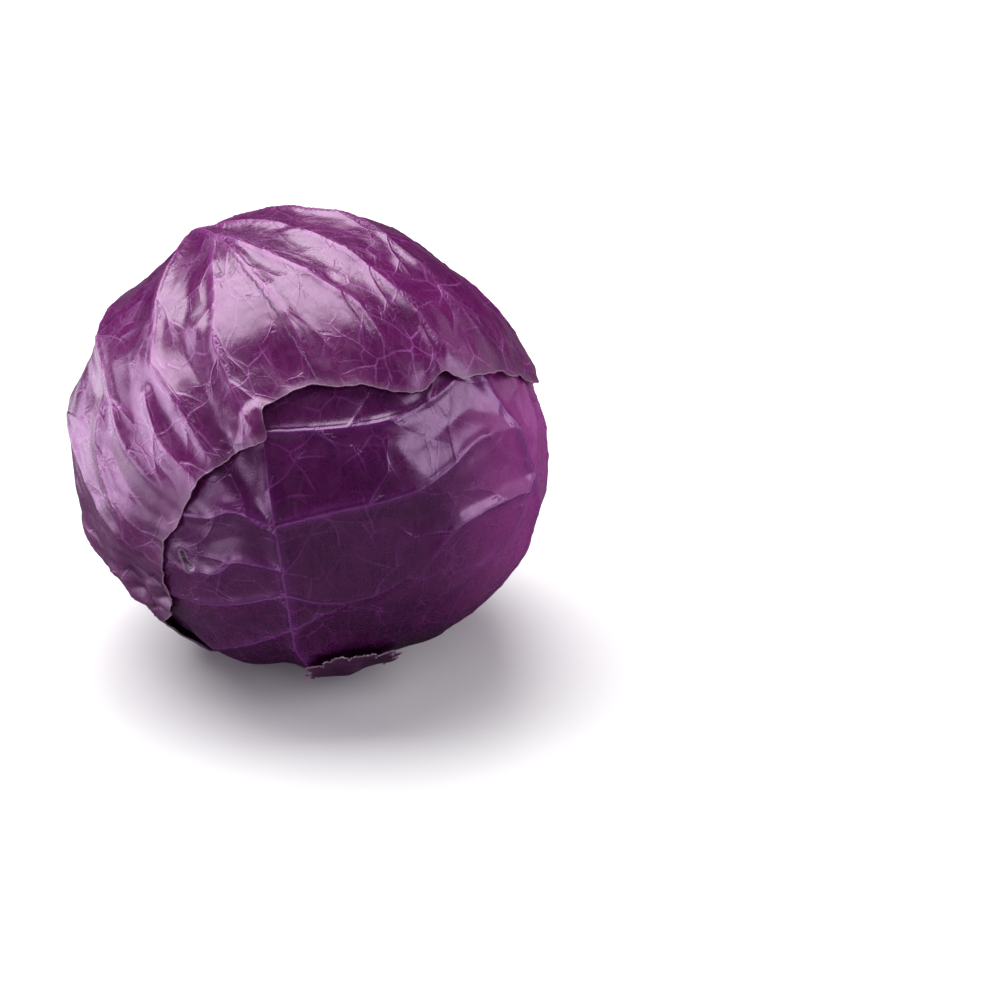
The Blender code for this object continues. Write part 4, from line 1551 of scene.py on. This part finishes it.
@dataclass
class Head:
    """The whole head: every leaf sheet, the stem and the heart, dressed."""

    form: HeadForm = field(default_factory=HeadForm)

    def sheets(self) -> list:
        """The leaf sheets from the inside out, each with its skin.

        Returns:
            Pairs of a sheet and its skin.
        """
        plans = (LEFT_LEAF, BACK_LEAF, RIGHT_LEAF, FRONT_LEAF, CAP_LEAF, SNAPPED_LEAF)
        leaves = [Leaf(plan, self.form) for plan in plans]
        choices = {
            "leaf_left": (80, WRAPPER_SKIN, {}),
            "leaf_back": (80, WRAPPER_SKIN, {}),
            "leaf_right": (160, WRAPPER_SKIN, {"veins": VeinRule(seed=11)}),
            "leaf_front": (215, FRONT_SKIN, {
                "veins": VeinRule(spacing=15.0, seed=23),
                "crumples": ((100.0, 8.0, 1.3, 0.0005, 5.0),),
                "pillows": ((-24.0, 12.0, 6.0, 0.0011), (-31.0, -1.0, 4.5, 0.0006)),
                "sharp_fold": 0.0001, "tight": ((4.0, 29.0, 19.0, 0.6),),
                "tears": (((-34.0, -5.5), (-33.0, -8.0), (-32.6, -9.5)), ((-33.0, -8.0), (-31.4, -8.6))),
            }),
            "leaf_cap": (215, CAP_SKIN, {
                "fan": (54.0, 22.0),
                "tight": ((2.0, 62.0, 27.0, 0.75),),
                "lip": 0.00025, "hug": 0.5, "pressed": ((-44.0, -43.0, 15.0, 0.5),),
                "overhang": ((139.0, 9.0, 2.5),),
                "pillows": ((-14.0, 30.5, 3.0, 0.0018),),
                "crumples": ((46.0, 7.0, 1.3, 0.0009, 10.0), (107.0, 15.0, 1.0, 0.0030, 21.0),
                             (20.0, 16.0, 1.0, 0.0002, 4.0), (80.0, 9.0, 1.1, 0.0005, 9.0)),
            }),
            "leaf_stub": (70, STUB_SKIN, {"veins": VeinRule(size=0.2, seed=3), "nibble": 0.25}),
        }
        made = []
        for order, leaf in enumerate(leaves):
            cells, skin, extra = choices[leaf.plan.name]
            made.append((LeafSheet(leaf, leaves[:order], leaves[order + 1:], cells, **extra), skin))
        return made

    def build(self, frame: dict) -> None:
        """Builds every piece, dresses it and ties it to the frame.
        """
        groups = LeafGroups()
        skins = {}
        for sheet, skin in self.sheets():
            if skin.name not in skins:
                skins[skin.name] = skin.make(groups)
            self.attach(sheet.build(), skins[skin.name], sheet.leaf.plan.name, skin.finish)
        self.attach(Stem().build(), StemSkin().make(), "stem", Finish.STEM)
        heart = frame["nodes"]["heart"]
        heart.data.materials.clear()
        heart.data.materials.append(HeartSkin().make())
        LOG.info("heart keeps its solid with a new skin")

    @staticmethod
    def attach(piece: bpy.types.Object, material: bpy.types.Material, node: str, finish: Finish) -> None:
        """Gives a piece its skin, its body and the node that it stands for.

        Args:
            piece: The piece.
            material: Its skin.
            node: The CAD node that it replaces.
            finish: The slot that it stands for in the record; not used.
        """
        piece.data.materials.clear()
        piece.data.materials.append(material)
        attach(piece, "root")
        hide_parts(node)
        LOG.info("%s stands for %s with %d faces", piece.name, node, len(piece.data.polygons))


@dataclass(frozen=True)
class SoftBox:
    """A rectangular studio light."""

    name: str
    place: tuple
    aim: tuple
    size: tuple
    radiance: float
    mirrored: bool = True
    colour: tuple = (1.0, 1.0, 1.0)

    def build(self) -> None:
        """Adds the light."""
        bpy.ops.object.light_add(type="AREA", location=self.place)
        lamp = bpy.context.object
        lamp.name = lamp.data.name = self.name
        lamp.data.shape = "RECTANGLE"
        lamp.data.size, lamp.data.size_y = self.size
        lamp.data.energy = self.radiance * pi * self.size[0] * self.size[1]
        lamp.rotation_euler = (Vector(self.aim) - Vector(self.place)).to_track_quat("-Z", "Y").to_euler()
        lamp.visible_camera = False
        lamp.visible_glossy = self.mirrored
        lamp.data.color = self.colour


@dataclass(frozen=True)
class Studio:
    """A pale floor, soft light from above and both sides, and the camera."""

    floor_radius: float = 3.5
    floor_colour: tuple = (0.70, 0.70, 0.70)
    # Painted reflection: the floor's colours for mirrored rays, dark, with a painted lit patch on the left.
    dim_floor: tuple = (0.04, 0.030, 0.045)
    lit_floor: tuple = (0.95, 0.88, 1.0)
    camera_distance: float = 0.83
    camera_rise: float = 25.0
    camera_lens: float = 85.0
    aim_right: float = 0.065
    aim_down: float = 0.0229
    lit_side: tuple = (-0.34, -0.15)
    lit_middle: float = 0.05
    lit_width: tuple = (0.25, 0.5)
    floor_sides: int = 96
    grain_shade: float = 0.98
    floor_roughness: float = 0.8
    wall_behind: tuple = (0.0, 0.97, 0.24)
    wall_edge: tuple = (0.88, 0.97)
    wall_glow: tuple = (0.07, 1.1)
    soft_light: float = 0.48
    sensor_width: float = 36.0
    nearest_view: float = 0.01
    soft_boxes: tuple = (
        SoftBox("overhead_box", (-0.50, 0.40, 1.28), (-0.50, 0.40, 0.0), (1.84, 1.31), 5.5),
        SoftBox("overhead_fill", (-0.42, 0.47, 1.25), (-0.42, 0.47, 0.0), (1.60, 1.45), 1.2,
                mirrored=False),
        SoftBox("right_box", (1.25, -0.40, 0.46), (0.0, 0.0, 0.08), (0.80, 0.72), 3.6,
                colour=(0.92, 0.84, 1.0)),
        SoftBox("left_box", (-1.20, 0.20, 0.30), (0.0, 0.0, 0.08), (1.1, 0.60), 3.8,
                colour=(0.94, 0.80, 1.0)),
        SoftBox("left_card", (-0.95, 0.12, 0.004), (-0.95, 0.12, 1.0), (0.90, 0.80), 2.4,
                colour=(0.94, 0.78, 1.0)),
        SoftBox("right_fill", (1.10, 0.45, 0.36), (0.0, 0.0, 0.08), (0.9, 0.8), 4.4, mirrored=False),
        SoftBox("cheek_card", (1.11, 0.45, 0.36), (0.0, 0.0, 0.08), (0.9, 0.8), 0.5,
                colour=(1.0, 0.84, 0.98)),
        SoftBox("front_fill", (0.0, -1.10, 1.05), (0.0, 0.0, 0.02), (0.9, 0.9), 2.4, mirrored=False),
        SoftBox("low_card", (-0.74, -0.72, 0.14), (0.0, 0.0, 0.09), (0.40, 0.26), 3.8,
                colour=(0.94, 0.74, 1.0)),
    )

    def build(self, form: HeadForm) -> None:
        """Adds the floor, the lights, the surroundings and the camera.

        Args:
            form: The head that the camera looks at.
        """
        self.floor()
        for box in self.soft_boxes:
            box.build()
        self.surroundings()
        self.camera(Vector(form.centre))

    def floor(self) -> None:
        """A wide pale floor, which mirrored rays see painted dark, with a painted pool of light towards the
        left.
        """
        bpy.ops.object.select_all(action="DESELECT")
        bpy.ops.mesh.primitive_circle_add(vertices=self.floor_sides, radius=self.floor_radius,
                                          fill_type="NGON")
        floor = bpy.context.object
        floor.name = floor.data.name = "studio_floor"
        material, board, shader = fresh_material("floor_paper")
        grain = board.noise(board.place(), 900.0, 2.0)
        shade = tuple(self.grain_shade * part for part in self.floor_colour)
        paper = board.blend(grain, self.floor_colour, shade)
        beside = board.math("ABSOLUTE", board.math("SUBTRACT", board.along("Y"), self.lit_middle))
        lit = board.times(board.ramp(board.along("X"), *self.lit_side, 1.0, 0.0),
                          board.ramp(beside, *self.lit_width, 1.0, 0.0))
        # Painted reflection: rays that mirror the floor see it dark, with a painted pool of light on the
        # left.
        mirrored = board.blend(lit, self.dim_floor, self.lit_floor)
        glossy = board.add("ShaderNodeLightPath").outputs["Is Glossy Ray"]
        board.feed(shader.inputs["Base Color"], board.blend(glossy, paper, mirrored))
        shader.inputs["Roughness"].default_value = self.floor_roughness
        floor.data.materials.append(material)

    def surroundings(self) -> None:
        """White walls, with a darker room behind the camera that only the reflections show."""
        world = bpy.data.worlds.new("studio_walls")
        world.use_nodes = True
        bpy.context.scene.world = world
        board = NodeBoard(world.node_tree)
        background = world.node_tree.nodes["Background"]
        view = board.add("ShaderNodeTexCoord").outputs["Generated"]
        behind = board.fed("ShaderNodeVectorMath", {0: view, 1: self.wall_behind}, operation="DOT_PRODUCT")
        wall = board.ramp(behind.outputs["Value"], *self.wall_edge, *self.wall_glow)
        ray = board.add("ShaderNodeLightPath").outputs
        light = board.plus(board.times(wall, ray["Is Glossy Ray"]), ray["Is Camera Ray"],
                           board.times(ray["Is Diffuse Ray"], self.soft_light))
        board.feed(background.inputs["Strength"], light)

    def camera(self, centre: Vector) -> None:
        """The camera at the photograph's angle, with the head left of the middle.

        Args:
            centre: The head's centre.
        """
        back = Vector(direction(0.0, self.camera_rise))
        up = Vector(direction(180.0, 90.0 - self.camera_rise))
        place = centre + back * self.camera_distance
        aim = centre + Vector((self.aim_right, 0.0, 0.0)) - up * self.aim_down
        bpy.ops.object.camera_add(location=place)
        camera = bpy.context.object
        camera.name = camera.data.name = "photo_camera"
        camera.data.lens = self.camera_lens
        camera.data.sensor_width = self.sensor_width
        camera.data.clip_start = self.nearest_view
        camera.rotation_euler = (aim - place).to_track_quat("-Z", "Y").to_euler()
        bpy.context.scene.camera = camera


def main() -> None:
    """Loads the frame, builds the head and the studio."""
    logging.basicConfig(level=logging.INFO, format="%(name)s: %(message)s")
    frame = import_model()
    bpy.context.scene.view_settings.view_transform = "Standard"
    head = Head()
    head.build(frame)
    Studio().build(head.form)
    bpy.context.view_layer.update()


if __name__ == "__main__":
    main()
